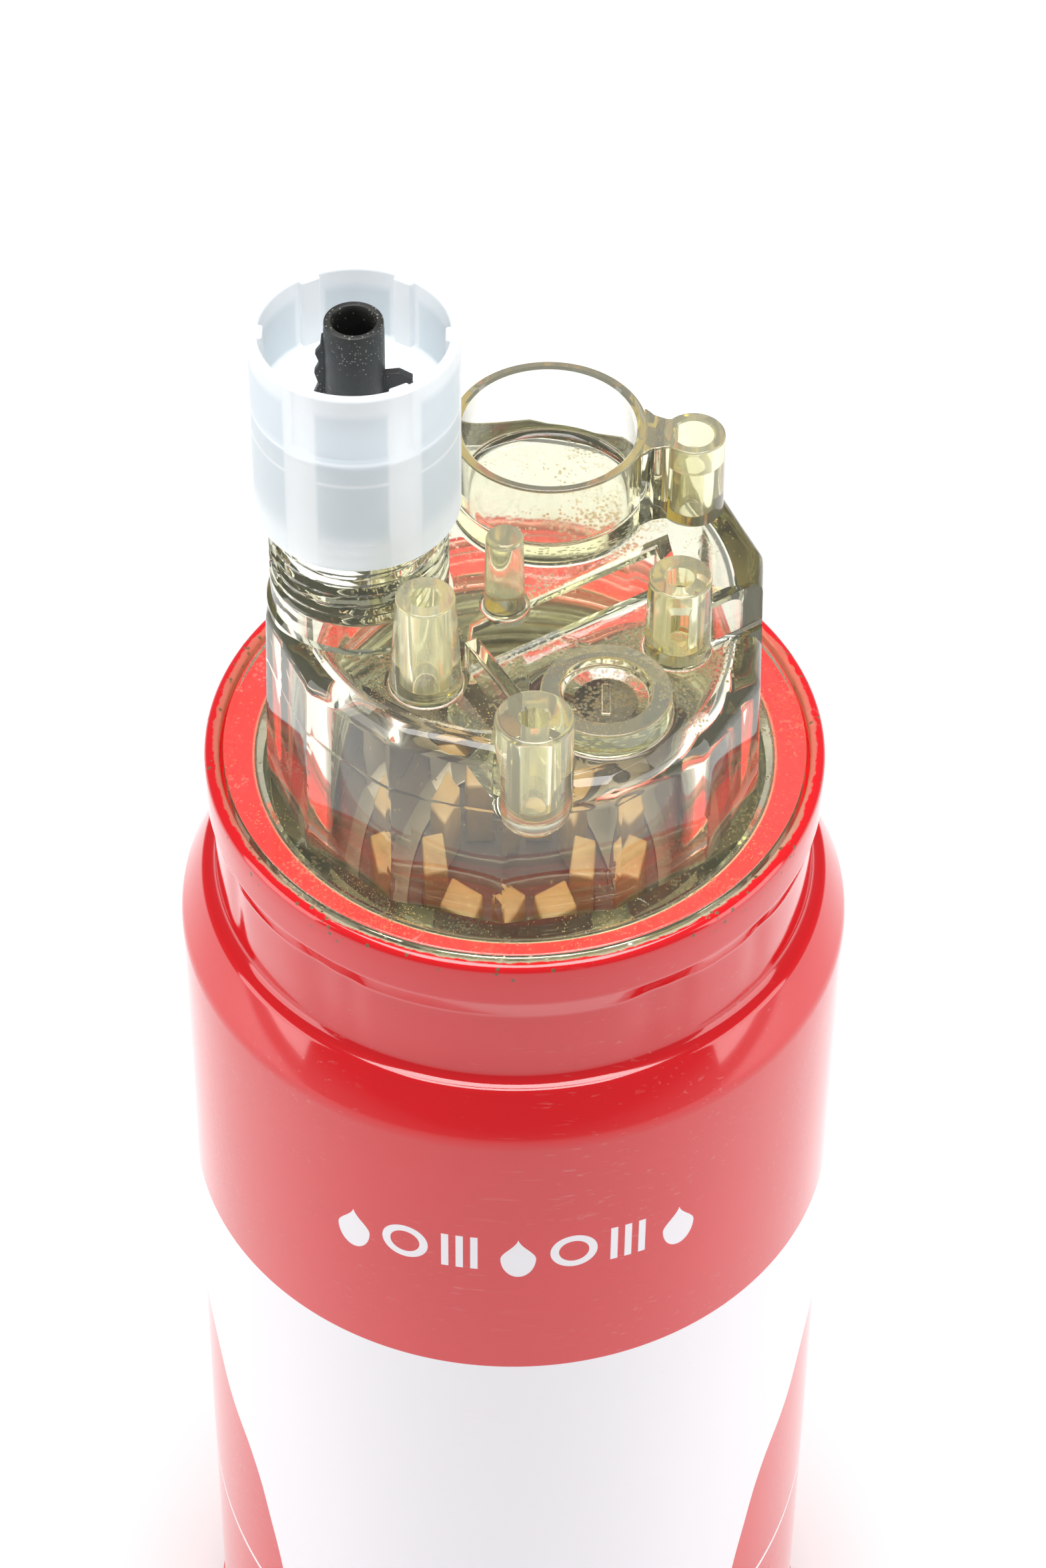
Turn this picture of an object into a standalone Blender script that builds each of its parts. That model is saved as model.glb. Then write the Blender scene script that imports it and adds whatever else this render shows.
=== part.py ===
"""Spin-on diesel fuel filter: a steel can with a pleated element, a clear water bowl screwed into
its neck, and a screw-down drain valve on the bowl.

The filter stands on its base gasket with the bowl up. The can's axis is Z, and the origin is on
that axis at the gasket's lower face. Every length is in metres and every angle in degrees.
"""
import math

import bmesh
import bpy
from mathutils import Vector

# Fits
GAP = 0.0003                     # between pieces that touch or seat on each other
THREAD_GAP = 0.0003              # a side, between an outer thread and the one it runs in

# Can
CAN_RADIUS = 0.055
CAN_HEIGHT = 0.205               # gasket face to the start of the shoulder
SHEET = 0.0008                   # wall of the drawn shell and of the lid
SHOULDER_WIDTH = 0.0039
SHOULDER_RISE = 0.0094
NECK_INSET = 0.0023              # from the top of the shoulder in to the neck wall
NECK_HEIGHT = 0.0266             # top of the shoulder to the top of the rim
RIM_BULGE = 0.0010               # rolled rim beyond the neck wall
RIM_HEIGHT = 0.0115
RIM_FOLD = 0.0024                # rim's outer face to its inner wall
SEAT_DEPTH = 0.0040              # rim top down to the seat that carries the bowl
SEAT_WIDTH = 0.0057              # rim's inner wall in to the opening

# Base end
SEAM_BULGE = 0.0010
SEAM_HEIGHT = 0.0040
SEAM_CLEAR = 0.0015              # gasket face up to the seam, which stays off the surface
GASKET_INSET = 0.0050            # can wall to the gasket's outer edge
GASKET_WIDTH = 0.0055
GASKET_HEIGHT = 0.0062
LID_FLAT = 0.0030                # gasket face up to the lid's flat
LID_LEDGE = 0.0062               # gasket groove in to the lid's inner edge
PLATE_THICKNESS = 0.0040
PORT_THREAD_RADIUS = 0.0120      # central outlet that the can screws on by
HUB_HEIGHT = 0.0120
INLETS = 8
INLET_RADIUS = 0.0042

# Element
FLOW_GAP = 0.0065                # shell to the element's lower cap
CAP_SHEET = 0.0005
CAP_WALL = 0.0090
INLET_CHAMBER = 0.0040           # tapping plate to the lower cap
GROMMET_WALL = 0.0038
GROMMET_HEIGHT = 0.0060
POTTING = 0.0030
TUBE_RADIUS = 0.0235
TUBE_SHEET = 0.0007
TUBE_LEDGE = 0.0026              # element's bore out to the tube's outside
SCREEN_SHEET = 0.0005
PLEATS = 40
PAPER = 0.0008
PLEAT_ROOT = 0.0012              # centre tube to the pleats' inner folds
PLEAT_TIP = 0.0013               # pleats' outer folds to the cap's wall
BANDS = 3
BAND_HEIGHT = 0.0040
BAND_WALL = 0.0006
UPPER_CAP_HEIGHT = 0.0042
SPRING_SHEET = 0.0008
SPRING_LEGS = 6
SPRING_LEG_WIDTH = 0.0090
SPRING_RING_WIDTH = 0.0070
SPRING_RISE = 0.0150             # element cap to the bowl collar

# Threaded collar in the neck
COLLAR_HEIGHT = 0.0133
COLLAR_WALL = 0.0050

# Bowl
FLANGE_CLEAR = 0.0006            # bowl flange to the rim's inner wall
BARREL_INSET = 0.0075            # flange edge to the barrel
BARREL_HEIGHT = 0.0355           # flange top to the upper floor
STEP_DEPTH = 0.0095              # upper floor down to the lower floor
FLATS = 14
FLAT_TURN = -92.4                # azimuth of one corner between flats
CORNER_REACH = 0.0010            # how far a sharp corner would stand out of the barrel
CORNER_BLUNT = 0.0003            # taken off each corner
TOP_FILLET = 0.0030
BOWL_WALL = 0.0030
CAVITY_INSET = 0.0041
SKIRT_HEIGHT = 0.0130
SEAL_SECTION = 0.0019
SEAL_LEDGE = 0.0022              # skirt end to the seal groove

# Bosses, each placed by how far its axis lies inside the barrel wall, and its azimuth
BOSS_FLARE = 0.0006
BOSS_HOLE = 0.0022
TALL_BOSS_RADIUS = 0.0046
TALL_BOSS_ROOT = 0.0055
TALL_BOSS_INSET = 0.0125
TALL_BOSS_TURN = -120.1
CUP_RADIUS = 0.0154
CUP_WALL = 0.0017
CUP_HEIGHT = 0.0151
CUP_FLOOR = 0.0020
CUP_MARGIN = 0.0049
CUP_TURN = 75.1
EAR_RADIUS = 0.0050
EAR_HOLE = 0.0031
EAR_MARGIN = 0.0021
EAR_TURN = 31.8
WEB_WIDTH = 0.0075
SHORT_BOSS_RADIUS = 0.0050
SHORT_BOSS_HEIGHT = 0.0150       # above the lower floor
SHORT_BOSS_INSET = 0.0136
SHORT_BOSS_TURN = -11.7
SHORT_BOSS_SLOT = 0.0030
SHORT_BOSS_BRIDGE = 0.0032
COLUMN_RADIUS = 0.0060
COLUMN_INSET = 0.0032
COLUMN_TURN = -85.2
COLUMN_HEIGHT = 0.0175           # round end's centre up to the top face
COLUMN_HOLE_DEPTH = 0.0170
RIB_THICKNESS = 0.0024
RIB_START = (-0.0072, -0.0195)
STUB_RADIUS = 0.0030
STUB_HEIGHT = 0.0145
STUB_PLACE = (-0.0018, -0.0062)
RING_RADIUS = 0.0102
RING_BORE = 0.0070
RING_DISH = 0.0050               # floor radius of the dished recess
RING_HEIGHT = 0.0044
RING_DEPTH = 0.0022
RING_MARGIN = 0.0052
RING_TURN = -54.3

# Step between the upper and the lower floor
STEP_START = (-0.0064, -0.0111)
STEP_END = (0.0215, 0.0069)
SIDE_STEP_START = (0.0245, -0.0091)
SIDE_STEP_SLOPE = 34.0

# Drain
SPIGOT_RADIUS = 0.0138
SPIGOT_MARGIN = 0.0012
SPIGOT_TURN = -172.2
SPIGOT_HEIGHT = 0.0365
VALVE_RADIUS = 0.0090
VALVE_HEAD = 0.0070
VALVE_SEAT = 0.0025              # upper floor to the valve head's lower face
VALVE_PORT = 0.0026              # square side hole through the stem, above the head
SPIGOT_WALL = 0.0026             # above the seat, which is narrower
VALVE_SEAL_SECTION = 0.0018
NOZZLE_RADIUS = 0.0045
NOZZLE_BORE = 0.0031
NOZZLE_STAND = 0.0020            # nozzle end above the cap's rim
VALVE_FLANGE_INSET = 0.0013      # spigot's wall in to the flange's edge
VALVE_FLANGE_HEIGHT = 0.0012
LUG_HEIGHT = 0.0046
LUG_THICKNESS = 0.0012
FIN_REACH = 0.0090
BARB_REACH = 0.0062
THREAD_WALL = 0.0016             # of the drain cap, around its thread
CAP_THREAD_LIFT = 0.0180         # upper floor to the cap's lower edge
CAP_HEIGHT = 0.0342
CAP_UPPER_WALL = 0.0015
CAP_WEB = 0.0015
CAP_RIBS = 6
CAP_RIB_WIDTH = 0.0030
CAP_RIB_DEPTH = 0.0008

# Facets around a turned piece
ROUND = 40
BARREL_ROUND = 4 * FLATS
SMALL_ROUND = 24

# Levels that follow from the sizes above
SHOULDER_TOP = CAN_HEIGHT + SHOULDER_RISE
SHOULDER_RADIUS = CAN_RADIUS - SHOULDER_WIDTH
NECK_RADIUS = SHOULDER_RADIUS - NECK_INSET
RIM_TOP = SHOULDER_TOP + NECK_HEIGHT
RIM_RADIUS = NECK_RADIUS + RIM_BULGE
RIM_INNER = RIM_RADIUS - RIM_FOLD
SEAT_Z = RIM_TOP - SEAT_DEPTH
SEAT_RADIUS = RIM_INNER - SEAT_WIDTH
GASKET_OUTER = CAN_RADIUS - GASKET_INSET
GASKET_INNER = GASKET_OUTER - GASKET_WIDTH
GROOVE_INNER = GASKET_INNER - GAP
GROOVE_OUTER = GASKET_OUTER + GAP
PLATE_Z = LID_FLAT + SHEET + GAP
PLATE_TOP = PLATE_Z + PLATE_THICKNESS
PLATE_RADIUS = GROOVE_INNER - SHEET - GAP
ELEMENT_BORE = TUBE_RADIUS - TUBE_LEDGE
HUB_RADIUS = ELEMENT_BORE - GROMMET_WALL - 2 * GAP
HUB_TOP = PLATE_TOP + HUB_HEIGHT
ELEMENT_RADIUS = CAN_RADIUS - SHEET - FLOW_GAP
LOWER_CAP_Z = PLATE_TOP + INLET_CHAMBER
LOWER_CAP_FLOOR = LOWER_CAP_Z + CAP_SHEET
MEDIA_BASE = LOWER_CAP_FLOOR + POTTING + 2 * GAP
COLLAR_TOP = SEAT_Z - SHEET - GAP
COLLAR_BASE = COLLAR_TOP - COLLAR_HEIGHT
SPRING_BASE = COLLAR_BASE - GAP - SPRING_RISE
UPPER_CAP_TOP = SPRING_BASE - GAP
UPPER_CAP_BASE = UPPER_CAP_TOP - UPPER_CAP_HEIGHT
MEDIA_TOP = UPPER_CAP_BASE - POTTING - 2 * GAP
MEDIA_INNER = TUBE_RADIUS + PLEAT_ROOT
MEDIA_OUTER = ELEMENT_RADIUS - CAP_SHEET - PLEAT_TIP
COLLAR_BORE = SEAT_RADIUS
SKIRT_RADIUS = COLLAR_BORE - THREAD_GAP
FLANGE_RADIUS = RIM_INNER - FLANGE_CLEAR
FLANGE_BASE = SEAT_Z + GAP
SKIRT_BASE = FLANGE_BASE - SKIRT_HEIGHT
SEAL_RADIUS = COLLAR_BORE - GAP - SEAL_SECTION / 2
SEAL_Z = SKIRT_BASE + SEAL_LEDGE + SEAL_SECTION / 2
BARREL_RADIUS = FLANGE_RADIUS - BARREL_INSET
UPPER_FLOOR = RIM_TOP + BARREL_HEIGHT
LOWER_FLOOR = UPPER_FLOOR - STEP_DEPTH
CAVITY_RADIUS = BARREL_RADIUS - CAVITY_INSET
SPIGOT_TOP = UPPER_FLOOR + SPIGOT_HEIGHT
SEAT_BORE = VALVE_RADIUS + 3 * GAP
VALVE_BASE = UPPER_FLOOR + VALVE_SEAT
HEAD_TOP = VALVE_BASE + VALVE_HEAD
VALVE_FLANGE = SPIGOT_RADIUS - VALVE_FLANGE_INSET
FLANGE_SEAT = SPIGOT_TOP + GAP
FLANGE_SEAT_TOP = FLANGE_SEAT + VALVE_FLANGE_HEIGHT
CAP_BASE = UPPER_FLOOR + CAP_THREAD_LIFT
CAP_TOP = CAP_BASE + CAP_HEIGHT
CAP_BORE = SPIGOT_RADIUS + THREAD_GAP
CAP_RADIUS = CAP_BORE + THREAD_WALL
WEB_BASE = FLANGE_SEAT_TOP + GAP
WEB_TOP = WEB_BASE + CAP_WEB
NOZZLE_TOP = CAP_TOP + NOZZLE_STAND
LUG_BASE = WEB_TOP + GAP
TALL_BOSS_TOP = CAP_BASE - GAP
SHORT_BOSS_TOP = LOWER_FLOOR + SHORT_BOSS_HEIGHT
COLUMN_TOP = SHORT_BOSS_TOP
COLUMN_ROUND_Z = COLUMN_TOP - COLUMN_HEIGHT
FAR = 3 * CAN_RADIUS             # well outside the object, for the ends of cutters


# Scene

def clear_scene():
    for obj in list(bpy.data.objects):
        bpy.data.objects.remove(obj, do_unlink=True)


def new_collection(name):
    collection = bpy.data.collections.new(name)
    bpy.context.scene.collection.children.link(collection)
    return collection


clear_scene()
PARTS = new_collection("fuel_filter")
CUTTERS = new_collection("cutters")


def material(name, colour, roughness, metallic=0.0, transmission=0.0):
    made = bpy.data.materials.new(name)
    made.use_nodes = True
    shader = made.node_tree.nodes["Principled BSDF"]
    shader.inputs["Base Color"].default_value = (*colour, 1.0)
    shader.inputs["Roughness"].default_value = roughness
    shader.inputs["Metallic"].default_value = metallic
    shader.inputs["Transmission Weight"].default_value = transmission
    return made


def add_object(name, mesh, finish=None, place=(0.0, 0.0, 0.0), turn=0.0):
    """Link a mesh as a part, or as a hidden cutter when it has no finish."""
    obj = bpy.data.objects.new(name, mesh)
    obj.location = place
    obj.rotation_euler.z = math.radians(turn)
    if finish:
        PARTS.objects.link(obj)
        mesh.materials.append(finish)
    else:
        CUTTERS.objects.link(obj)
        obj.hide_render = True
        obj.display_type = "WIRE"
    return obj


# Outlines and shapes

def filleted(points, steps=2):
    """Round each corner that has a third number, its radius, with a tangent arc."""
    outline = []
    count = len(points)
    for i, point in enumerate(points):
        here = Vector(point[:2])
        if len(point) < 3:
            outline.append(here)
            continue
        before = (Vector(points[i - 1][:2]) - here).normalized()
        after = (Vector(points[(i + 1) % count][:2]) - here).normalized()
        half = before.angle(after) / 2
        reach = point[2] / math.tan(half)
        centre = here + (before + after).normalized() * point[2] / math.sin(half)
        start = here + before * reach - centre
        sweep = (math.pi - 2 * half) * (1 if start.cross(here + after * reach - centre) > 0 else -1)
        for step in range(steps + 1):
            angle = sweep * step / steps
            turned_start = Vector((start.x * math.cos(angle) - start.y * math.sin(angle),
                                   start.x * math.sin(angle) + start.y * math.cos(angle)))
            outline.append(centre + turned_start)
    return outline


def turned(name, points, finish=None, place=(0.0, 0.0), turn=0.0, facets=ROUND, closed=True):
    """Turn a (radius, z) profile, which runs down its outer side, about the vertical through place.

    A profile that starts and ends on the axis is solid and needs no edge along it.
    """
    outline = filleted(points)
    mesh = bpy.data.meshes.new(name)
    edges = [(i, i + 1) for i in range(len(outline) - 1)]
    if closed and outline[0].x > 0.0:
        edges.append((len(outline) - 1, 0))
    mesh.from_pydata([(p.x, 0.0, p.y) for p in outline], edges, [])
    obj = add_object(name, mesh, finish, (*place, 0.0), turn)
    screw = obj.modifiers.new("turn", "SCREW")
    screw.steps = facets
    screw.render_steps = facets
    screw.use_merge_vertices = True
    screw.merge_threshold = 0.00001
    screw.use_smooth_shade = False
    return obj


def pressed(name, points, sheet, finish, facets=ROUND):
    """A turned sheet-metal piece: the profile is its outer face and the sheet lies behind it."""
    obj = turned(name, points, finish, facets=facets, closed=False)
    solidify = obj.modifiers.new("sheet", "SOLIDIFY")
    solidify.thickness = sheet
    solidify.offset = -1.0
    solidify.use_even_offset = True
    return obj


def ring(inner, outer, base, top):
    return [(inner, top), (outer, top), (outer, base), (inner, base)]


def rod(radius, base, top):
    return [(0.0, top), (radius, top), (radius, base), (0.0, base)]


def section(radius, centre_z, centre_radius, facets=8):
    """A round seal's section, as a clockwise outline."""
    turns = [-2 * math.pi * i / facets for i in range(facets)]
    return [(centre_radius + radius * math.cos(a), centre_z + radius * math.sin(a)) for a in turns]


def extruded(name, corners, travel, turn=0.0):
    """Sweep a flat outline along a straight travel into a closed cutter."""
    mesh = bpy.data.meshes.new(name)
    shape = bmesh.new()
    face = shape.faces.new([shape.verts.new(corner) for corner in corners])
    swept = bmesh.ops.extrude_face_region(shape, geom=[face], use_keep_orig=True)
    moved = [item for item in swept["geom"] if isinstance(item, bmesh.types.BMVert)]
    bmesh.ops.translate(shape, verts=moved, vec=travel)
    bmesh.ops.recalc_face_normals(shape, faces=shape.faces)
    shape.to_mesh(mesh)
    shape.free()
    return add_object(name, mesh, turn=turn)


def prism(name, outline, base, top):
    """Extrude a plan outline from base up to top."""
    return extruded(name, [(x, y, base) for x, y in outline], (0.0, 0.0, top - base))


def bar(name, start, end, width, base, top):
    """An upright bar between two plan points."""
    along = (Vector(end) - Vector(start)).normalized()
    side = Vector((-along.y, along.x)) * width / 2
    corners = [Vector(start) - side, Vector(end) - side, Vector(end) + side, Vector(start) + side]
    return prism(name, [tuple(corner) for corner in corners], base, top)


def grown(outline, distance):
    """Move each edge of a counter-clockwise plan outline outwards by a distance."""
    result = []
    count = len(outline)
    for i in range(count):
        here = Vector(outline[i])
        before = (here - Vector(outline[i - 1])).normalized()
        after = (Vector(outline[(i + 1) % count]) - here).normalized()
        outward = Vector((before.y, -before.x)) + Vector((after.y, -after.x))
        result.append(tuple(here + outward * 2 * distance / outward.length_squared))
    return result


def combine(obj, tool, operation, solver="EXACT"):
    boolean = obj.modifiers.new(f"{operation.lower()} {tool.name}", "BOOLEAN")
    boolean.operation = operation
    boolean.object = tool
    boolean.solver = solver


def join(obj, *tools, solver="EXACT"):
    for tool in tools:
        combine(obj, tool, "UNION", solver)


def fuse(obj, *tools):
    """Join where faces lie flush, which the exact solver leaves open at some sizes."""
    join(obj, *tools, solver="MANIFOLD")


def cut(obj, *tools, solver="EXACT"):
    for tool in tools:
        combine(obj, tool, "DIFFERENCE", solver)


def drill(obj, *tools):
    """Cut where faces lie flush, which the exact solver leaves open at some sizes."""
    cut(obj, *tools, solver="MANIFOLD")


def polar(radius, azimuth):
    return (radius * math.cos(math.radians(azimuth)), radius * math.sin(math.radians(azimuth)))


# Can and base end

def can_shell(finish):
    seam_top = SEAM_CLEAR + SEAM_HEIGHT
    seam_radius = CAN_RADIUS + SEAM_BULGE
    outer_face = [
        (SEAT_RADIUS, SEAT_Z),
        (RIM_INNER, SEAT_Z),
        (RIM_INNER, RIM_TOP, 0.0009),
        (RIM_RADIUS, RIM_TOP, 0.0011),
        (RIM_RADIUS, RIM_TOP - RIM_HEIGHT, 0.0008),
        (NECK_RADIUS, RIM_TOP - RIM_HEIGHT - RIM_BULGE),
        (NECK_RADIUS, SHOULDER_TOP, 0.0016),
        (SHOULDER_RADIUS, SHOULDER_TOP - 0.0004, 0.0010),
        (CAN_RADIUS, CAN_HEIGHT, 0.0030),
        (CAN_RADIUS, seam_top + SEAM_BULGE),
        (seam_radius, seam_top),
        (seam_radius, SEAM_CLEAR),
        (CAN_RADIUS, SEAM_CLEAR),
    ]
    return pressed("can_shell", outer_face, SHEET, finish)


def base_gasket(finish):
    chamfer = GASKET_WIDTH / 6
    return turned("base_gasket", [
        (GASKET_INNER, GASKET_HEIGHT),
        (GASKET_OUTER, GASKET_HEIGHT),
        (GASKET_OUTER, chamfer),
        (GASKET_OUTER - chamfer, 0.0),
        (GASKET_INNER + chamfer, 0.0),
        (GASKET_INNER, chamfer),
    ], finish)


def seaming_lid(finish):
    roof = GASKET_HEIGHT + GAP
    ledge = SEAM_CLEAR + SHEET + GAP
    under_face = [
        (CAN_RADIUS - SHEET - GAP, ledge),
        (GROOVE_OUTER, ledge),
        (GROOVE_OUTER, roof),
        (GROOVE_INNER, roof),
        (GROOVE_INNER, LID_FLAT),
        (GROOVE_INNER - LID_LEDGE, LID_FLAT),
    ]
    return pressed("seaming_lid", under_face, SHEET, finish)


def tapping_plate(finish):
    plate = turned("tapping_plate", [
        (PORT_THREAD_RADIUS, HUB_TOP),
        (HUB_RADIUS, HUB_TOP),
        (HUB_RADIUS, PLATE_TOP),
        (PLATE_RADIUS, PLATE_TOP),
        (PLATE_RADIUS, PLATE_Z),
        (PORT_THREAD_RADIUS, PLATE_Z),
    ], finish)
    inlet_circle = (HUB_RADIUS + GROOVE_INNER - LID_LEDGE) / 2
    for i in range(INLETS):
        place = polar(inlet_circle, 360 * (i + 0.5) / INLETS)
        hole = turned(f"inlet_{i + 1}", rod(INLET_RADIUS, 0.0, HUB_TOP), place=place, facets=12)
        cut(plate, hole)
    return plate


# Element

def inner_grommet(finish):
    base = LOWER_CAP_Z
    inner = HUB_RADIUS + GAP
    return turned("inner_grommet", ring(inner, inner + GROMMET_WALL, base, base + GROMMET_HEIGHT),
                  finish)


def element_lower_cap(finish):
    under_face = [
        (ELEMENT_RADIUS, LOWER_CAP_Z + CAP_WALL),
        (ELEMENT_RADIUS, LOWER_CAP_Z),
        (ELEMENT_BORE, LOWER_CAP_Z),
        (ELEMENT_BORE, LOWER_CAP_Z + GROMMET_HEIGHT),
    ]
    return pressed("element_lower_cap", under_face, CAP_SHEET, finish)


def potting(name, base, finish):
    inner = ELEMENT_BORE + CAP_SHEET + GAP
    outer = ELEMENT_RADIUS - CAP_SHEET - GAP
    return turned(name, ring(inner, outer, base, base + POTTING), finish)


def centre_tube(finish):
    return turned("centre_tube", ring(TUBE_RADIUS - TUBE_SHEET, TUBE_RADIUS, MEDIA_BASE, MEDIA_TOP),
                  finish)


def water_screen(finish):
    outer = TUBE_RADIUS - TUBE_SHEET - GAP
    return turned("water_screen", ring(outer - SCREEN_SHEET, outer, MEDIA_BASE, MEDIA_TOP), finish)


def filter_media(finish):
    """One sheet of paper folded into pleats and closed into a ring: a zigzag wall of even thickness."""
    folds = 2 * PLEATS
    depth = MEDIA_OUTER - MEDIA_INNER
    half_pitch = math.pi * (MEDIA_OUTER + MEDIA_INNER) / folds
    fold = PAPER * math.hypot(depth, half_pitch) / half_pitch
    curve = bpy.data.curves.new("filter_media", "CURVE")
    curve.dimensions = "2D"
    curve.fill_mode = "BOTH"
    curve.extrude = (MEDIA_TOP - MEDIA_BASE) / 2
    for tip, root in ((MEDIA_OUTER, MEDIA_INNER + fold), (MEDIA_OUTER - fold, MEDIA_INNER)):
        spline = curve.splines.new("POLY")
        spline.points.add(folds - 1)
        spline.use_cyclic_u = True
        for i, point in enumerate(spline.points):
            reach = tip if i % 2 == 0 else root
            point.co = (*polar(reach, 360 * i / folds), 0.0, 1.0)
    obj = bpy.data.objects.new("filter_media", curve)
    obj.location.z = (MEDIA_BASE + MEDIA_TOP) / 2
    curve.materials.append(finish)
    PARTS.objects.link(obj)
    weld = obj.modifiers.new("weld caps", "WELD")
    weld.merge_threshold = 0.00001
    return obj


def pleat_band(index, finish):
    """A bead of glue round the pleats, which holds them apart."""
    height = MEDIA_BASE + (MEDIA_TOP - MEDIA_BASE) * (index + 1) / (BANDS + 1)
    inner = MEDIA_OUTER + GAP
    return turned(f"pleat_band_{index + 1}",
                  ring(inner, inner + BAND_WALL, height - BAND_HEIGHT / 2, height + BAND_HEIGHT / 2),
                  finish)


def element_upper_cap(finish):
    """The moulded end cap that closes the element's far end."""
    return turned("element_upper_cap", [
        (0.0, UPPER_CAP_TOP),
        (ELEMENT_RADIUS - 0.0010, UPPER_CAP_TOP),
        (ELEMENT_RADIUS, UPPER_CAP_TOP - 0.0010),
        (ELEMENT_RADIUS, UPPER_CAP_BASE),
        (0.0, UPPER_CAP_BASE),
    ], finish)


def support_spring(finish):
    """A stamped ring whose bent legs press the element down from under the bowl's collar."""
    inner = TUBE_RADIUS
    outer = inner + SPRING_RING_WIDTH
    spring = turned("support_spring", ring(inner, outer, SPRING_BASE, SPRING_BASE + SPRING_SHEET),
                    finish)
    foot = COLLAR_BORE + COLLAR_WALL / 2
    leg_top = SPRING_BASE + SPRING_RISE
    profile = [(outer - 0.0015, SPRING_BASE), (foot, leg_top - SPRING_SHEET),
               (foot + 0.0020, leg_top - SPRING_SHEET), (foot + 0.0020, leg_top),
               (foot - 0.0004, leg_top), (outer - 0.0015, SPRING_BASE + SPRING_SHEET)]
    corners = [(r, -SPRING_LEG_WIDTH / 2, z) for r, z in profile]
    for i in range(SPRING_LEGS):
        join(spring, extruded(f"spring_leg_{i + 1}", corners, (0.0, SPRING_LEG_WIDTH, 0.0),
                              turn=360 * i / SPRING_LEGS))
    return spring


def bowl_collar(finish):
    """The threaded steel ring under the seat."""
    return turned("bowl_collar", ring(COLLAR_BORE, COLLAR_BORE + COLLAR_WALL, COLLAR_BASE, COLLAR_TOP),
                  finish)


def bowl_o_ring(finish):
    return turned("bowl_o_ring", section(SEAL_SECTION / 2, SEAL_Z, SEAL_RADIUS), finish)


# Bowl

def inset(distance, azimuth):
    """A plan point that lies a distance inside the barrel wall."""
    return polar(BARREL_RADIUS - distance, azimuth)


SPIGOT_PLACE = inset(SPIGOT_RADIUS + SPIGOT_MARGIN, SPIGOT_TURN)
TALL_BOSS_PLACE = inset(TALL_BOSS_INSET, TALL_BOSS_TURN)
CUP_PLACE = inset(CUP_RADIUS + CUP_MARGIN, CUP_TURN)
EAR_PLACE = inset(EAR_RADIUS + EAR_MARGIN, EAR_TURN)
SHORT_BOSS_PLACE = inset(SHORT_BOSS_INSET, SHORT_BOSS_TURN)
COLUMN_PLACE = inset(COLUMN_INSET, COLUMN_TURN)
RING_PLACE = inset(RING_RADIUS + RING_MARGIN, RING_TURN)


def low_region():
    """Plan outline, counter-clockwise, of the floor that lies a step lower."""
    side_slope = math.tan(math.radians(SIDE_STEP_SLOPE))
    side_end = (FAR, SIDE_STEP_START[1] + (FAR - SIDE_STEP_START[0]) * side_slope)
    return [STEP_START, RIB_START, COLUMN_PLACE, (COLUMN_PLACE[0], -FAR), (FAR, -FAR), side_end,
            SIDE_STEP_START, STEP_END]


def barrel(name, top):
    radius = BARREL_RADIUS + CORNER_REACH - CORNER_BLUNT
    return turned(name, [
        (0.0, top),
        (radius, top, TOP_FILLET),
        (radius, RIM_TOP - GAP),
        (0.0, RIM_TOP - GAP),
    ], turn=FLAT_TURN, facets=BARREL_ROUND)


def boss(name, place, radius, root_radius, base, top):
    """An upright boss with a small flare where it meets the floor."""
    return turned(name, [
        (0.0, top),
        (radius, top),
        (root_radius, base + 2 * BOSS_FLARE),
        (root_radius + BOSS_FLARE, base),
        (root_radius + BOSS_FLARE, base - BOWL_WALL / 2),
        (0.0, base - BOWL_WALL / 2),
    ], place=place, facets=SMALL_ROUND)


def bore(name, place, radius, base, top):
    return turned(name, rod(radius, base, top), place=place, facets=SMALL_ROUND)


def bowl_body(finish):
    """Flange, skirt and hollow barrel with its fourteen wrench flats and two floors."""
    groove = SEAL_RADIUS - SEAL_SECTION / 2 - GAP
    bowl = turned("bowl", [
        (0.0, RIM_TOP),
        (FLANGE_RADIUS, RIM_TOP, 0.0005),
        (FLANGE_RADIUS, FLANGE_BASE),
        (SKIRT_RADIUS, FLANGE_BASE),
        (SKIRT_RADIUS, SEAL_Z + SEAL_SECTION / 2 + GAP),
        (groove, SEAL_Z + SEAL_SECTION / 2 + GAP),
        (groove, SEAL_Z - SEAL_SECTION / 2 - GAP),
        (SKIRT_RADIUS, SEAL_Z - SEAL_SECTION / 2 - GAP),
        (SKIRT_RADIUS, SKIRT_BASE),
        (0.0, SKIRT_BASE),
    ], finish, turn=FLAT_TURN, facets=BARREL_ROUND)

    low_barrel = barrel("low_barrel", LOWER_FLOOR)
    high_barrel = barrel("high_barrel", UPPER_FLOOR)
    drill(high_barrel, prism("low_region", low_region(), LOWER_FLOOR, CAP_TOP))
    corners = [polar(BARREL_RADIUS + CORNER_REACH, FLAT_TURN + 360 * i / FLATS) for i in range(FLATS)]
    flats = prism("wrench_flats", corners, FLANGE_BASE, CAP_TOP)
    fuse(low_barrel, high_barrel)
    combine(low_barrel, flats, "INTERSECT", solver="MANIFOLD")
    fuse(bowl, low_barrel)

    low_cavity = turned("low_cavity", rod(CAVITY_RADIUS, 0.0, LOWER_FLOOR - BOWL_WALL),
                        turn=FLAT_TURN, facets=BARREL_ROUND)
    high_cavity = turned("high_cavity", rod(CAVITY_RADIUS - GAP, SEAT_Z, UPPER_FLOOR - BOWL_WALL),
                         turn=FLAT_TURN, facets=BARREL_ROUND)
    cut(high_cavity, prism("low_region_wall", grown(low_region(), BOWL_WALL), 0.0, CAP_TOP))
    drill(bowl, low_cavity, high_cavity)
    return bowl


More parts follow.
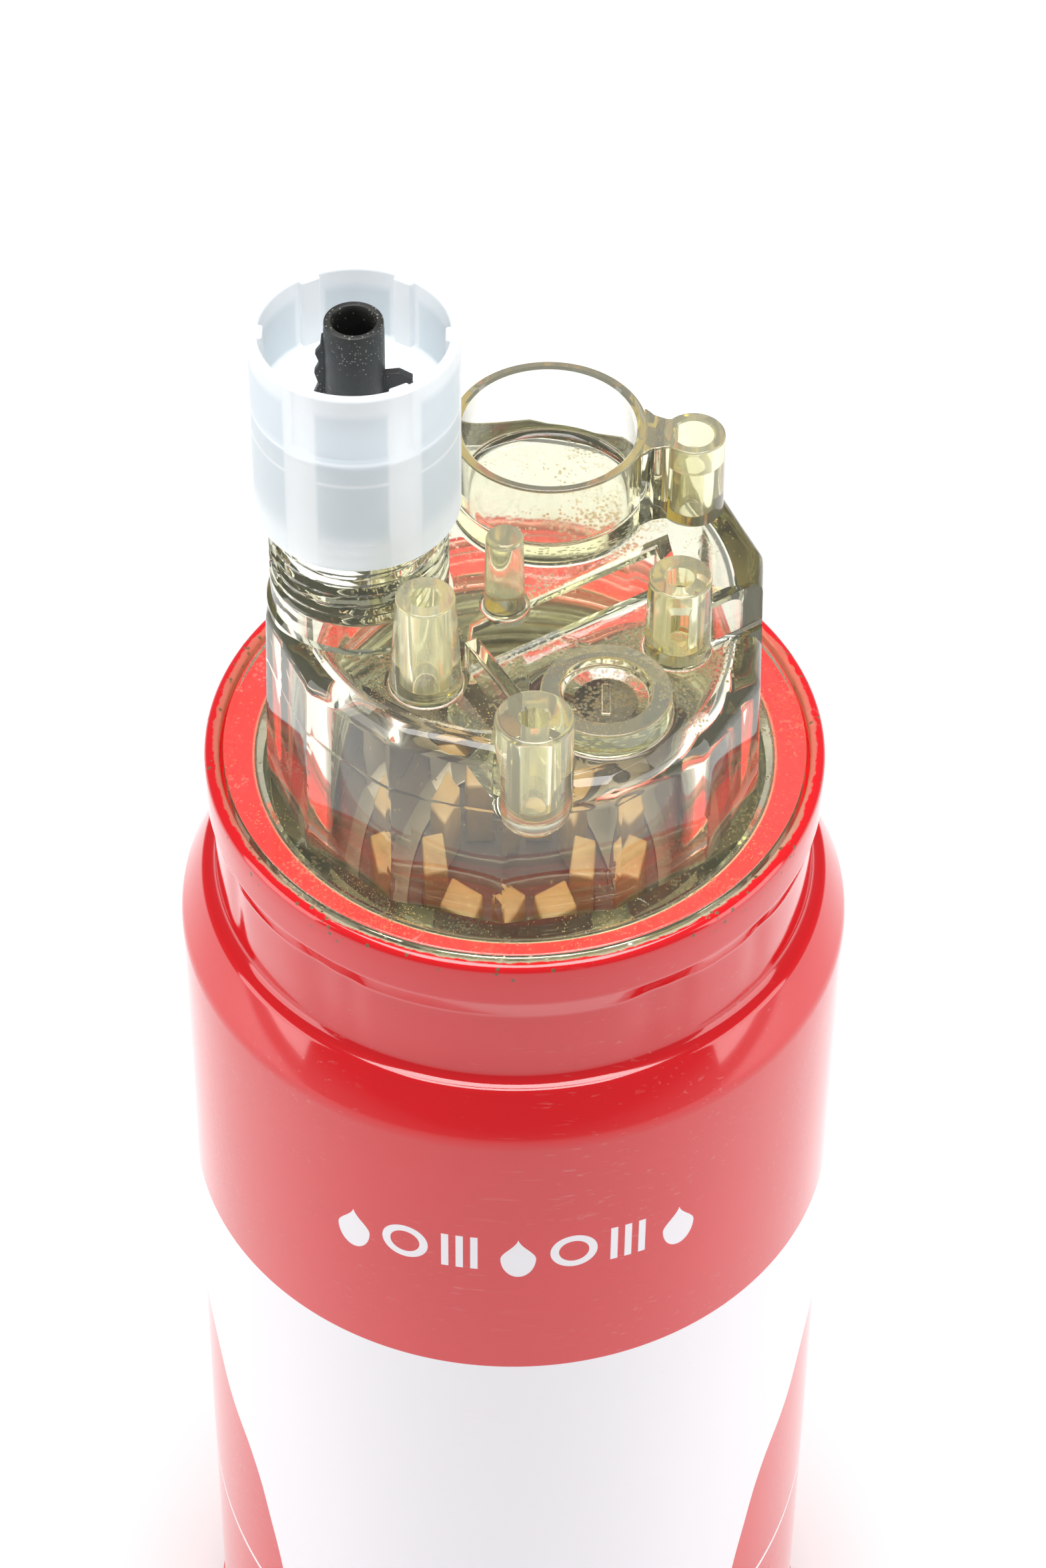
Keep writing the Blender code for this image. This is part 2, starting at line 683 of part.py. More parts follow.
def add_bosses(bowl):
    """Screw bosses, the blind cup and its ear, the stub, the rib and the blanked port ring."""
    fuse(bowl, boss("tall_boss", TALL_BOSS_PLACE, TALL_BOSS_RADIUS, TALL_BOSS_ROOT, UPPER_FLOOR,
                    TALL_BOSS_TOP))
    fuse(bowl, boss("stub", STUB_PLACE, STUB_RADIUS, STUB_RADIUS, UPPER_FLOOR,
                    UPPER_FLOOR + STUB_HEIGHT))
    fuse(bowl, boss("short_boss", SHORT_BOSS_PLACE, SHORT_BOSS_RADIUS, SHORT_BOSS_RADIUS,
                    LOWER_FLOOR, SHORT_BOSS_TOP))
    cup_top = UPPER_FLOOR + CUP_HEIGHT
    fuse(bowl, bar("web", CUP_PLACE, EAR_PLACE, WEB_WIDTH, UPPER_FLOOR - BOWL_WALL / 2,
                   cup_top - GAP))
    fuse(bowl, boss("ear", EAR_PLACE, EAR_RADIUS, EAR_RADIUS, UPPER_FLOOR, cup_top))
    fuse(bowl, boss("cup", CUP_PLACE, CUP_RADIUS, CUP_RADIUS, UPPER_FLOOR, cup_top))
    fuse(bowl, boss("port_ring", RING_PLACE, RING_RADIUS, RING_RADIUS, LOWER_FLOOR,
                    LOWER_FLOOR + RING_HEIGHT))

    column_base = COLUMN_ROUND_Z - COLUMN_RADIUS
    fuse(bowl, turned("column", [
        (0.0, COLUMN_TOP),
        (COLUMN_RADIUS, COLUMN_TOP),
        (COLUMN_RADIUS, column_base, COLUMN_RADIUS - GAP),
        (0.0, column_base),
    ], place=COLUMN_PLACE, facets=SMALL_ROUND))
    fuse(bowl, bar("rib", RIB_START, COLUMN_PLACE, RIB_THICKNESS, LOWER_FLOOR - BOWL_WALL / 2,
                   COLUMN_TOP - GAP))


def add_holes(bowl):
    drill(bowl, bore("tall_boss_hole", TALL_BOSS_PLACE, BOSS_HOLE, UPPER_FLOOR, CAP_TOP))
    drill(bowl, bore("short_boss_hole", SHORT_BOSS_PLACE, BOSS_HOLE, LOWER_FLOOR, CAP_TOP))
    drill(bowl, bore("column_hole", COLUMN_PLACE, BOSS_HOLE, COLUMN_TOP - COLUMN_HOLE_DEPTH, CAP_TOP))
    drill(bowl, bore("ear_hole", EAR_PLACE, EAR_HOLE, UPPER_FLOOR, CAP_TOP))
    drill(bowl, turned("cup_hollow", rod(CUP_RADIUS - CUP_WALL, UPPER_FLOOR + CUP_FLOOR, CAP_TOP),
                     place=CUP_PLACE, facets=ROUND))
    ring_top = LOWER_FLOOR + RING_HEIGHT
    dish = [(0.0, CAP_TOP), (RING_BORE, CAP_TOP), (RING_BORE, ring_top),
            (RING_DISH, ring_top - RING_DEPTH), (0.0, ring_top - RING_DEPTH)]
    drill(bowl, turned("port_dish", dish, place=RING_PLACE, facets=SMALL_ROUND))
    slot_end = (SHORT_BOSS_PLACE[0], SHORT_BOSS_PLACE[1] - 2 * SHORT_BOSS_RADIUS)
    drill(bowl, bar("boss_slot", SHORT_BOSS_PLACE, slot_end, SHORT_BOSS_SLOT,
                  LOWER_FLOOR + 2 * BOSS_FLARE, SHORT_BOSS_TOP - SHORT_BOSS_BRIDGE))


def add_spigot(bowl):
    """The threaded neck that the drain cap runs on. The valve seals in the narrow lower bore."""
    fuse(bowl, turned("spigot", rod(SPIGOT_RADIUS, UPPER_FLOOR - BOWL_WALL / 2, SPIGOT_TOP),
                      place=SPIGOT_PLACE, facets=ROUND))
    wide = SPIGOT_RADIUS - SPIGOT_WALL
    drill(bowl, turned("spigot_bore", [
        (0.0, CAP_TOP),
        (wide, CAP_TOP),
        (wide, HEAD_TOP + wide - SEAT_BORE),
        (SEAT_BORE, HEAD_TOP),
        (SEAT_BORE, LOWER_FLOOR - BOWL_WALL),
        (0.0, LOWER_FLOOR - BOWL_WALL),
    ], place=SPIGOT_PLACE, facets=ROUND))


# Drain

def drain_valve(finish):
    """Valve head, stem and hose nozzle in one moulding, with a fin and a barb above the cap's web.

    The nozzle's bore is blind and opens through the stem just above the sealed head.
    """
    seal_z = VALVE_BASE + VALVE_HEAD / 2
    half = VALVE_SEAL_SECTION / 2 + GAP
    groove = SEAT_BORE - GAP - VALVE_SEAL_SECTION - GAP
    valve = turned("drain_valve", [
        (0.0, HEAD_TOP),
        (NOZZLE_BORE, HEAD_TOP),
        (NOZZLE_BORE, NOZZLE_TOP),
        (NOZZLE_RADIUS, NOZZLE_TOP),
        (NOZZLE_RADIUS, FLANGE_SEAT_TOP),
        (VALVE_FLANGE, FLANGE_SEAT_TOP),
        (VALVE_FLANGE, FLANGE_SEAT),
        (NOZZLE_RADIUS, FLANGE_SEAT),
        (NOZZLE_RADIUS, HEAD_TOP),
        (VALVE_RADIUS, HEAD_TOP),
        (VALVE_RADIUS, seal_z + half),
        (groove, seal_z + half),
        (groove, seal_z - half),
        (VALVE_RADIUS, seal_z - half),
        (VALVE_RADIUS, VALVE_BASE),
        (0.0, VALVE_BASE),
    ], finish, place=SPIGOT_PLACE, facets=SMALL_ROUND)
    centre = Vector(SPIGOT_PLACE)
    across = Vector((0.0, VALVE_RADIUS))
    cut(valve, bar("valve_port", centre - across, centre + across, VALVE_PORT, HEAD_TOP + GAP,
                   HEAD_TOP + GAP + VALVE_PORT))
    wall = (NOZZLE_RADIUS + NOZZLE_BORE) / 2
    for name, side, reach in (("fin", 1, FIN_REACH), ("barb", -1, BARB_REACH)):
        start = centre + Vector((side * wall, 0.0))
        end = centre + Vector((side * reach, 0.0))
        join(valve, bar(name, start, end, LUG_THICKNESS, LUG_BASE, LUG_BASE + LUG_HEIGHT))
    return valve


def drain_valve_seal(finish):
    radius = VALVE_SEAL_SECTION / 2
    outline = section(radius, VALVE_BASE + VALVE_HEAD / 2, SEAT_BORE - GAP - radius)
    return turned("drain_valve_seal", outline, finish, place=SPIGOT_PLACE, facets=SMALL_ROUND)


def drain_cap(finish):
    """Thread below, a web that carries the valve, and an open ribbed collar above."""
    inner = CAP_RADIUS - CAP_UPPER_WALL
    hole = NOZZLE_RADIUS + 2 * GAP
    cap = turned("drain_cap", [
        (inner, CAP_TOP),
        (CAP_RADIUS, CAP_TOP),
        (CAP_RADIUS, CAP_BASE + 0.0008),
        (CAP_RADIUS - 0.0006, CAP_BASE),
        (CAP_BORE, CAP_BASE),
        (CAP_BORE, WEB_BASE),
        (hole, WEB_BASE),
        (hole, WEB_TOP),
        (inner, WEB_TOP),
    ], finish, place=SPIGOT_PLACE, facets=ROUND)
    centre = Vector(SPIGOT_PLACE)
    for i in range(CAP_RIBS):
        turn = 360 * i / CAP_RIBS
        start = centre + Vector(polar(inner - CAP_RIB_DEPTH, turn))
        end = centre + Vector(polar(inner + CAP_UPPER_WALL / 2, turn))
        join(cap, bar(f"cap_rib_{i + 1}", start, end, CAP_RIB_WIDTH, WEB_TOP - CAP_WEB / 2,
                      CAP_TOP - GAP))
    return cap


def build():
    red_lacquer = material("red_lacquer", (0.72, 0.01, 0.02), 0.12)
    bare_steel = material("bare_steel", (0.55, 0.55, 0.53), 0.35, metallic=1.0)
    spring_steel = material("spring_steel", (0.35, 0.34, 0.33), 0.4, metallic=1.0)
    black_rubber = material("black_rubber", (0.02, 0.02, 0.02), 0.6)
    brown_potting = material("brown_potting", (0.16, 0.08, 0.04), 0.5)
    pleated_paper = material("pleated_paper", (0.72, 0.53, 0.28), 0.9)
    glue = material("glue", (0.80, 0.74, 0.55), 0.5)
    screen_mesh = material("screen_mesh", (0.75, 0.75, 0.72), 0.7)
    clear_plastic = material("clear_plastic", (0.95, 0.94, 0.80), 0.04, transmission=1.0)
    milky_plastic = material("milky_plastic", (0.86, 0.88, 0.88), 0.35, transmission=0.6)
    black_plastic = material("black_plastic", (0.03, 0.03, 0.028), 0.45)

    can_shell(red_lacquer)
    base_gasket(black_rubber)
    seaming_lid(bare_steel)
    tapping_plate(bare_steel)
    inner_grommet(black_rubber)
    element_lower_cap(bare_steel)
    potting("lower_potting", LOWER_CAP_FLOOR + GAP, brown_potting)
    centre_tube(bare_steel)
    water_screen(screen_mesh)
    filter_media(pleated_paper)
    for index in range(BANDS):
        pleat_band(index, glue)
    potting("upper_potting", UPPER_CAP_BASE - GAP - POTTING, brown_potting)
    element_upper_cap(brown_potting)
    support_spring(spring_steel)
    bowl_collar(bare_steel)
    bowl_o_ring(black_rubber)
    bowl = bowl_body(clear_plastic)
    add_bosses(bowl)
    add_spigot(bowl)
    add_holes(bowl)
    drain_valve(black_plastic)
    drain_valve_seal(black_rubber)
    drain_cap(milky_plastic)


build()
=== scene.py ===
"""Spin-on diesel fuel filter: a lacquered steel can with a pleated element inside, a clear water bowl
screwed into its neck, and a screw-down drain valve on the bowl. Lengths are in metres, and +Z runs
up the can's axis from the base gasket.
"""
import math

import bmesh
import bpy
import numpy as np
from mathutils import Matrix, Vector


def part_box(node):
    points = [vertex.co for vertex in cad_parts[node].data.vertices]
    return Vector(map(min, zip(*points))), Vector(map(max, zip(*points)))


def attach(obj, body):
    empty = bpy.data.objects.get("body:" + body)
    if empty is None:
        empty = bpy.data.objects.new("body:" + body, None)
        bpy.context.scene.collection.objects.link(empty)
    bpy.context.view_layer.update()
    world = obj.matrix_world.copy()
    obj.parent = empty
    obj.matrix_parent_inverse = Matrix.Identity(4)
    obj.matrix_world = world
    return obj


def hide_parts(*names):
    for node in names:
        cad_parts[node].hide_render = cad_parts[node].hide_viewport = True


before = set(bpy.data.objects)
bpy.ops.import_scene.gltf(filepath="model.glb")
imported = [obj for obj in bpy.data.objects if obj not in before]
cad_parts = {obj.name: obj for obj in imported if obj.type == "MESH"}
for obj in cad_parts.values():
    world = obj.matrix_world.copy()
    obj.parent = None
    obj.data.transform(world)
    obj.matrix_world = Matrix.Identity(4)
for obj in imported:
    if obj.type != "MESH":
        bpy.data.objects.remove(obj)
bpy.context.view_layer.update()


# ---------------------------------------------------------------- Base gasket
# A moulded nitrile ring that sits in the lid's groove and seals on the filter head. Its lower face
# is flat, its corners are eased, and moulding leaves a faint parting line and a matt bloom.

def eased(points, steps=5):
    """Round each corner of a closed outline that carries a third number, its radius."""
    outline = []
    for i, point in enumerate(points):
        here = Vector(point[:2])
        if len(point) < 3:
            outline.append(here)
            continue
        before = (Vector(points[i - 1][:2]) - here).normalized()
        after = (Vector(points[(i + 1) % len(points)][:2]) - here).normalized()
        half = before.angle(after) / 2
        reach = point[2] / math.tan(half)
        centre = here + (before + after).normalized() * point[2] / math.sin(half)
        start = here + before * reach - centre
        sweep = math.pi - 2 * half
        if start.cross(here + after * reach - centre) < 0:
            sweep = -sweep
        for step in range(steps + 1):
            a = sweep * step / steps
            outline.append(centre + Vector((start.x * math.cos(a) - start.y * math.sin(a),
                                            start.x * math.sin(a) + start.y * math.cos(a))))
    return outline


def set_out(name, data, crease=None):
    """Put data in the scene as an object, a mesh smooth except where it folds more than crease."""
    if crease:
        data.polygons.foreach_set("use_smooth", [True] * len(data.polygons))
        data.set_sharp_from_angle(angle=math.radians(crease))
    obj = bpy.data.objects.new(name, data)
    bpy.context.scene.collection.objects.link(obj)
    return obj


def piece(name, vertices, faces, finish, crease=32):
    """A mesh object at the origin, smooth except where it folds by more than crease degrees."""
    mesh = bpy.data.meshes.new(name)
    mesh.from_pydata([tuple(v) for v in vertices], [], faces)
    if finish:
        mesh.materials.append(finish)
    return set_out(name, mesh, crease)


def turned(name, points, finish=None, place=(0.0, 0.0), facets=192, steps=5, shape=None, crease=32,
           start=0.0):
    """Turn a (radius, height) outline, which runs down its outer side, about an upright axis.

    shape takes azimuths, radii and heights and gives the radii and heights that replace them.
    """
    outline = eased(points, steps)
    on_axis = outline[0].x < 1e-9
    if on_axis:
        outline = outline[1:-1]
    count = len(outline)
    azimuth = start + np.linspace(0.0, 2 * math.pi, facets, endpoint=False)[:, None]
    radius = np.tile([p.x for p in outline], (facets, 1))
    height = np.tile([p.y for p in outline], (facets, 1))
    if shape:
        radius, height = shape(azimuth, radius, height)
    vertices = np.stack([place[0] + radius * np.cos(azimuth), place[1] + radius * np.sin(azimuth),
                         height], axis=2).reshape(-1, 3).tolist()
    faces = []
    for i in range(facets):
        here, there = i * count, (i + 1) % facets * count
        faces += [(here + j, here + j + 1, there + j + 1, there + j) for j in range(count - 1)]
        if not on_axis:
            faces.append((here + count - 1, here, there, there + count - 1))
    if on_axis:
        vertices += [(*place, height[0, 0]), (*place, height[0, -1])]
        top, bottom = len(vertices) - 2, len(vertices) - 1
        for i in range(facets):
            here, there = i * count, (i + 1) % facets * count
            faces.append((top, here, there))
            faces.append((bottom, there + count - 1, here + count - 1))
    return piece(name, vertices, faces, finish, crease)


def ring_outline(inner, outer, low, high, inner_top=0.0, outer_top=0.0, outer_low=0.0, inner_low=0.0):
    """The four corners of a plain ring, each with its own rounding."""
    corners = ((inner, high, inner_top), (outer, high, outer_top), (outer, low, outer_low),
               (inner, low, inner_low))
    return [corner if corner[2] else corner[:2] for corner in corners]


def new_material(name, colour, roughness, metallic=0.0):
    """A Principled material; gives the material, its node tree and its shader."""
    made = bpy.data.materials.new(name)
    made.use_nodes = True
    shader = made.node_tree.nodes["Principled BSDF"]
    shader.inputs["Base Color"].default_value = (*colour, 1.0)
    shader.inputs["Roughness"].default_value = roughness
    shader.inputs["Metallic"].default_value = metallic
    return made, made.node_tree, shader


def node(tree, kind, values=(), **settings):
    """Add a node, set its properties, then its inputs: a value, or a socket to link from."""
    made = tree.nodes.new(kind)
    for key, value in settings.items():
        setattr(made, key, value)
    for key, value in dict(values).items():
        if isinstance(value, bpy.types.NodeSocket):
            tree.links.new(value, made.inputs[key])
        else:
            made.inputs[key].default_value = value
    return made


def sum_up(tree, operation, a, b=0.0, clamp=False):
    return node(tree, "ShaderNodeMath", {0: a, 1: b}, operation=operation, use_clamp=clamp).outputs[0]


def times(tree, *factors):
    total = factors[0]
    for factor in factors[1:]:
        total = sum_up(tree, "MULTIPLY", total, factor)
    return total


def plus(tree, *terms):
    total = terms[0]
    for term in terms[1:]:
        total = sum_up(tree, "ADD", total, term)
    return total


def minus(tree, a, b):
    return sum_up(tree, "SUBTRACT", a, b)


def ramp(tree, value, low, high, start=0.0, end=1.0, kind="SMOOTHSTEP"):
    """Carry a value from start to end between low and high, and hold it beyond."""
    return node(tree, "ShaderNodeMapRange",
                {"Value": value, "From Min": low, "From Max": high, "To Min": start, "To Max": end},
                interpolation_type=kind).outputs[0]


def noise(tree, where, scale, detail=2.0, **more):
    """Cloudy noise over a place; more sets its other inputs."""
    values = {"Vector": where, "Scale": scale, "Detail": detail, **more}
    return node(tree, "ShaderNodeTexNoise", values).outputs[0]


def blend(tree, factor, a, b):
    """Mix two colours."""
    mixed = node(tree, "ShaderNodeMix", data_type="RGBA")
    for socket, value in ((mixed.inputs[0], factor), (mixed.inputs[6], a), (mixed.inputs[7], b)):
        if isinstance(value, bpy.types.NodeSocket):
            tree.links.new(value, socket)
        else:
            socket.default_value = value if isinstance(value, float) else (*value, 1.0)
    return mixed.outputs[2]


def effect(name, inputs, outputs):
    """A shader node group with named sockets; gives the tree, its input and its output node."""
    tree = bpy.data.node_groups.new(name, "ShaderNodeTree")
    for label, kind, default in inputs:
        socket = tree.interface.new_socket(label, in_out="INPUT", socket_type=kind)
        socket.default_value = default
    for label, kind in outputs:
        tree.interface.new_socket(label, in_out="OUTPUT", socket_type=kind)
    return tree, tree.nodes.new("NodeGroupInput"), tree.nodes.new("NodeGroupOutput")


def use(tree, group, **values):
    """Place an effect in a material with its own values; underscores stand for spaces."""
    placed = node(tree, "ShaderNodeGroup", node_tree=group)
    for key, value in values.items():
        socket = placed.inputs[key.replace("_", " ")]
        if isinstance(value, bpy.types.NodeSocket):
            tree.links.new(value, socket)
        else:
            socket.default_value = value
    return placed


def make_mottle():
    """Slow blotches and fine grain: a roughness that varies and a grain height for the bump."""
    tree, given, result = effect(
        "mottled surface",
        [("Scale", "NodeSocketFloat", 60.0), ("Roughness", "NodeSocketFloat", 0.4),
         ("Variation", "NodeSocketFloat", 0.1), ("Grain Scale", "NodeSocketFloat", 1500.0)],
        [("Roughness", "NodeSocketFloat"), ("Blotch", "NodeSocketFloat"),
         ("Grain", "NodeSocketFloat")])
    where = node(tree, "ShaderNodeTexCoord").outputs["Object"]
    blotch = noise(tree, where, given.outputs["Scale"], 5.0, Roughness=0.6)
    grain = noise(tree, where, given.outputs["Grain Scale"], 2.0)
    around = minus(tree, ramp(tree, blotch, 0.3, 0.7), 0.5)
    swing = times(tree, around, given.outputs["Variation"])
    tree.links.new(plus(tree, given.outputs["Roughness"], swing), result.inputs[0])
    tree.links.new(ramp(tree, blotch, 0.3, 0.7), result.inputs[1])
    tree.links.new(grain, result.inputs[2])
    return tree


def make_dust():
    """Settled specks: sparse small dots of dust, gathered in patches."""
    tree, given, result = effect(
        "settled dust",
        [("Scale", "NodeSocketFloat", 900.0), ("Size", "NodeSocketFloat", 0.12),
         ("Amount", "NodeSocketFloat", 0.5)],
        [("Specks", "NodeSocketFloat")])
    where = node(tree, "ShaderNodeTexCoord").outputs["Object"]
    cells = node(tree, "ShaderNodeTexVoronoi", {"Vector": where, "Scale": given.outputs["Scale"]})
    size = given.outputs["Size"]
    dots = ramp(tree, cells.outputs["Distance"], size, times(tree, size, 1.5), 1.0, 0.0, "LINEAR")
    pick = node(tree, "ShaderNodeSeparateColor", {0: cells.outputs["Color"]}).outputs[0]
    patch = noise(tree, where, 90.0, 3.0)
    limit = times(tree, ramp(tree, patch, 0.40, 0.68), given.outputs["Amount"])
    kept = sum_up(tree, "LESS_THAN", pick, limit)
    tree.links.new(times(tree, dots, kept), result.inputs[0])
    return tree


mottled_surface = make_mottle()
settled_dust = make_dust()


def paint(tree, shader, colour=None, roughness=None, metallic=None):
    """Link a shader's own inputs to what the tree works out."""
    for label, value in (("Base Color", colour), ("Roughness", roughness), ("Metallic", metallic)):
        if value:
            tree.links.new(value, shader.inputs[label])


def add_bump(tree, shader, height, strength, distance):
    bump = node(tree, "ShaderNodeBump", {"Height": height, "Strength": strength,
                                         "Distance": distance})
    tree.links.new(bump.outputs[0], shader.inputs["Normal"])


def rubber(name, shade):
    """Matt moulded rubber with a pale bloom in blotches."""
    made, tree, shader = new_material(name, (shade, shade, shade), 0.6)
    surface = use(tree, mottled_surface, Scale=120.0, Roughness=0.62, Variation=0.25)
    bloom = blend(tree, times(tree, surface.outputs["Blotch"], 0.35), (shade,) * 3,
                  (0.09, 0.09, 0.085))
    dust = use(tree, settled_dust, Scale=1400.0, Size=0.2, Amount=0.35)
    paint(tree, shader, blend(tree, dust.outputs[0], bloom, (0.30, 0.28, 0.24)),
          surface.outputs["Roughness"])
    add_bump(tree, shader, surface.outputs["Grain"], 0.5, 0.00005)
    return made


black_rubber = rubber("black_rubber", 0.018)
GASKET_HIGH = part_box("base_gasket")[1]
GASKET_OUTER = GASKET_HIGH.x
GASKET_WIDTH = 0.0055
GASKET_TOP = GASKET_HIGH.z
gasket = turned("gasket_ring", ring_outline(GASKET_OUTER - GASKET_WIDTH, GASKET_OUTER, 0.0, GASKET_TOP,
                                            0.0005, 0.0005, 0.0010, 0.0010), black_rubber)
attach(gasket, "can")
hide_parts("base_gasket")


# ------------------------------------------------- Seaming lid and tapping plate
# The lid is pressed from thin zinc-plated sheet and rolled into the can's edge. Behind it a thick
# steel plate carries the outlet thread, cut in a raised hub, and a circle of inlet holes.

def plated_steel(name, colour, roughness, tint=(0.62, 0.56, 0.42)):
    """Zinc-plated pressed steel: blotchy sheen, faint yellow passivation, fine drawing lines."""
    made, tree, shader = new_material(name, colour, roughness, 1.0)
    surface = use(tree, mottled_surface, Scale=70.0, Roughness=roughness, Variation=0.22,
                  Grain_Scale=900.0)
    hue = blend(tree, times(tree, surface.outputs["Blotch"], 0.5), colour, tint)
    dust = use(tree, settled_dust, Scale=700.0, Size=0.14, Amount=0.25)
    paint(tree, shader, blend(tree, dust.outputs[0], hue, (0.35, 0.28, 0.18)),
          surface.outputs["Roughness"], minus(tree, 1.0, dust.outputs[0]))
    add_bump(tree, shader, surface.outputs["Grain"], 0.25, 0.00003)
    return made


bare_steel = plated_steel("bare_steel", (0.56, 0.56, 0.54), 0.34)
SHEET = 0.0008
PLATE_LOW, PLATE_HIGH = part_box("tapping_plate")
LID_INNER = 0.0380
GROOVE_OUTER = 0.0503
GROOVE_INNER = 0.0442
LID_RIM = 0.0539
LID_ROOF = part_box("seaming_lid")[1].z
LID_FLAT = 0.0030
lid = turned("lid_pressing", [
    (LID_INNER, LID_FLAT + SHEET, 0.0003),
    (GROOVE_INNER - SHEET, LID_FLAT + SHEET, 0.0010),
    (GROOVE_INNER - SHEET, LID_ROOF, 0.0011),
    (GROOVE_OUTER + SHEET, LID_ROOF, 0.0011),
    (GROOVE_OUTER + SHEET, LID_FLAT + SHEET, 0.0007),
    (LID_RIM, LID_FLAT + SHEET),
    (LID_RIM, LID_FLAT),
    (GROOVE_OUTER, LID_FLAT, 0.0012),
    (GROOVE_OUTER, LID_ROOF - SHEET, 0.0004),
    (GROOVE_INNER, LID_ROOF - SHEET, 0.0004),
    (GROOVE_INNER, LID_FLAT, 0.0015),
    (LID_INNER, LID_FLAT, 0.0003),
], bare_steel)
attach(lid, "can")
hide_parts("seaming_lid")

PLATE_THICKNESS = 0.0040
PLATE_TOP = PLATE_LOW.z + PLATE_THICKNESS
OUTLET_RADIUS = 0.0120
OUTLET_PITCH = 0.0015
OUTLET_DEPTH = 0.0008
HUB_RADIUS = 0.0165
INLETS = 8
INLET_RADIUS = 0.0042
INLET_CIRCLE = (HUB_RADIUS + LID_INNER) / 2


def helix(azimuth, height, pitch):
    """Where each point lies within one turn of a right-hand thread, from 0 to 1."""
    return (height / pitch - azimuth / (2 * math.pi)) % 1.0


def tapped(azimuth, radius, height):
    """Cut a vee thread into the hub's bore, fading out at its two mouths."""
    lead = 0.0010
    inside = (np.clip((height - PLATE_LOW.z) / lead, 0, 1)
              * np.clip((PLATE_HIGH.z - height) / lead, 0, 1))
    vee = 1 - abs(2 * helix(azimuth, height, OUTLET_PITCH) - 1)
    bored = radius < OUTLET_RADIUS + 1e-6
    return np.where(bored, radius + OUTLET_DEPTH * vee * inside, radius), height


bore_rings = int((PLATE_HIGH.z - PLATE_LOW.z) / OUTLET_PITCH * 6)
bore_wall = [(OUTLET_RADIUS, PLATE_LOW.z + (PLATE_HIGH.z - PLATE_LOW.z) * i / bore_rings)
             for i in range(1, bore_rings)]
plate = turned("plate_blank", [
    (OUTLET_RADIUS, PLATE_LOW.z), *bore_wall,
    (OUTLET_RADIUS, PLATE_HIGH.z),
    (HUB_RADIUS, PLATE_HIGH.z, 0.0006),
    (HUB_RADIUS, PLATE_TOP, 0.0012),
    (PLATE_HIGH.x, PLATE_TOP, 0.0005),
    (PLATE_HIGH.x, PLATE_LOW.z, 0.0005),
], bare_steel, facets=144, shape=tapped, crease=50)


def polar(radius, degrees):
    return radius * math.cos(math.radians(degrees)), radius * math.sin(math.radians(degrees))


def settled(obj, name, spent=(), crease=None):
    """Replace an object, and the tools spent on it, by a plain mesh of what its modifiers give."""
    result = bpy.data.meshes.new_from_object(obj.evaluated_get(bpy.context.evaluated_depsgraph_get()))
    for used in (obj, *spent):
        bpy.data.objects.remove(used, do_unlink=True)
    result.name = name
    return set_out(name, result, crease)


def shaped(obj, tools, name):
    """Join or cut the tools, given as (operation, object), and give one plain mesh object."""
    for operation, tool in tools:
        boolean = obj.modifiers.new(operation, "BOOLEAN")
        boolean.operation = operation
        boolean.object = tool
        boolean.solver = "MANIFOLD"
    return settled(obj, name, [tool for _, tool in tools])


inlet_drills = [("DIFFERENCE", turned(f"inlet_drill_{i}", [
    (0.0, PLATE_HIGH.z), (INLET_RADIUS, PLATE_HIGH.z), (INLET_RADIUS, 0.0), (0.0, 0.0)],
    place=polar(INLET_CIRCLE, 360 * (i + 0.5) / INLETS), facets=36)) for i in range(INLETS)]
plate = shaped(plate, inlet_drills, "tapping_plate_disc")
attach(plate, "can")
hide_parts("tapping_plate")


# ----------------------------------------------------------------- Can shell
# One deep-drawn steel cup, 0.8 mm thick, lacquered red and printed in white. Its neck is reduced in a
# second press stroke, which leaves shallow upright creases, and its rim is rolled outwards and in.

CAN_LOW, CAN_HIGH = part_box("can_shell")
CAN_RADIUS = 0.0550
SHOULDER_Z = 0.2050
NECK_FOOT_Z = 0.2144
SHOULDER_RADIUS = 0.0511
NECK_RADIUS = 0.0488
RIM_RADIUS = 0.0498
RIM_INNER = 0.0474
RIM_Z = CAN_HIGH.z
SEAT_Z = RIM_Z - 0.0040
SEAT_RADIUS = 0.0417
SEAM_LOW = CAN_LOW.z
SEAM_HEIGHT = 0.0040
SEAM_RADIUS = CAN_HIGH.x
CREASES = ((-128.0, 5.0, 0.55), (-121.0, 2.5, 0.30), (-63.0, 4.5, 0.60), (-57.0, 2.6, 0.35),
           (-38.0, 3.0, 0.30), (20.0, 4.0, 0.45), (78.0, 3.5, 0.50), (131.0, 4.5, 0.45),
           (172.0, 3.0, 0.40), (-155.0, 3.2, 0.35))


def creased(azimuth, radius, height):
    """Press shallow upright creases and a slow wave into the neck wall."""
    degrees = np.degrees(azimuth)
    low = np.clip((height - NECK_FOOT_Z - 0.001) / 0.005, 0, 1)
    high = np.clip((RIM_Z - 0.0075 - height) / 0.004, 0, 1)
    share = low * low * (3 - 2 * low) * high * high * (3 - 2 * high)
    dent = 0.00008 * np.sin(3 * azimuth + 0.6) + 0.00005 * np.sin(7 * azimuth + 2.0)
    for place, width, depth in CREASES:
        off = (degrees - place + 180.0) % 360.0 - 180.0
        dent = dent + 0.001 * depth * np.exp(-(off / width) ** 2)
    neck = radius > SEAT_RADIUS + 0.002
    return np.where(neck, radius - dent * share, radius), height


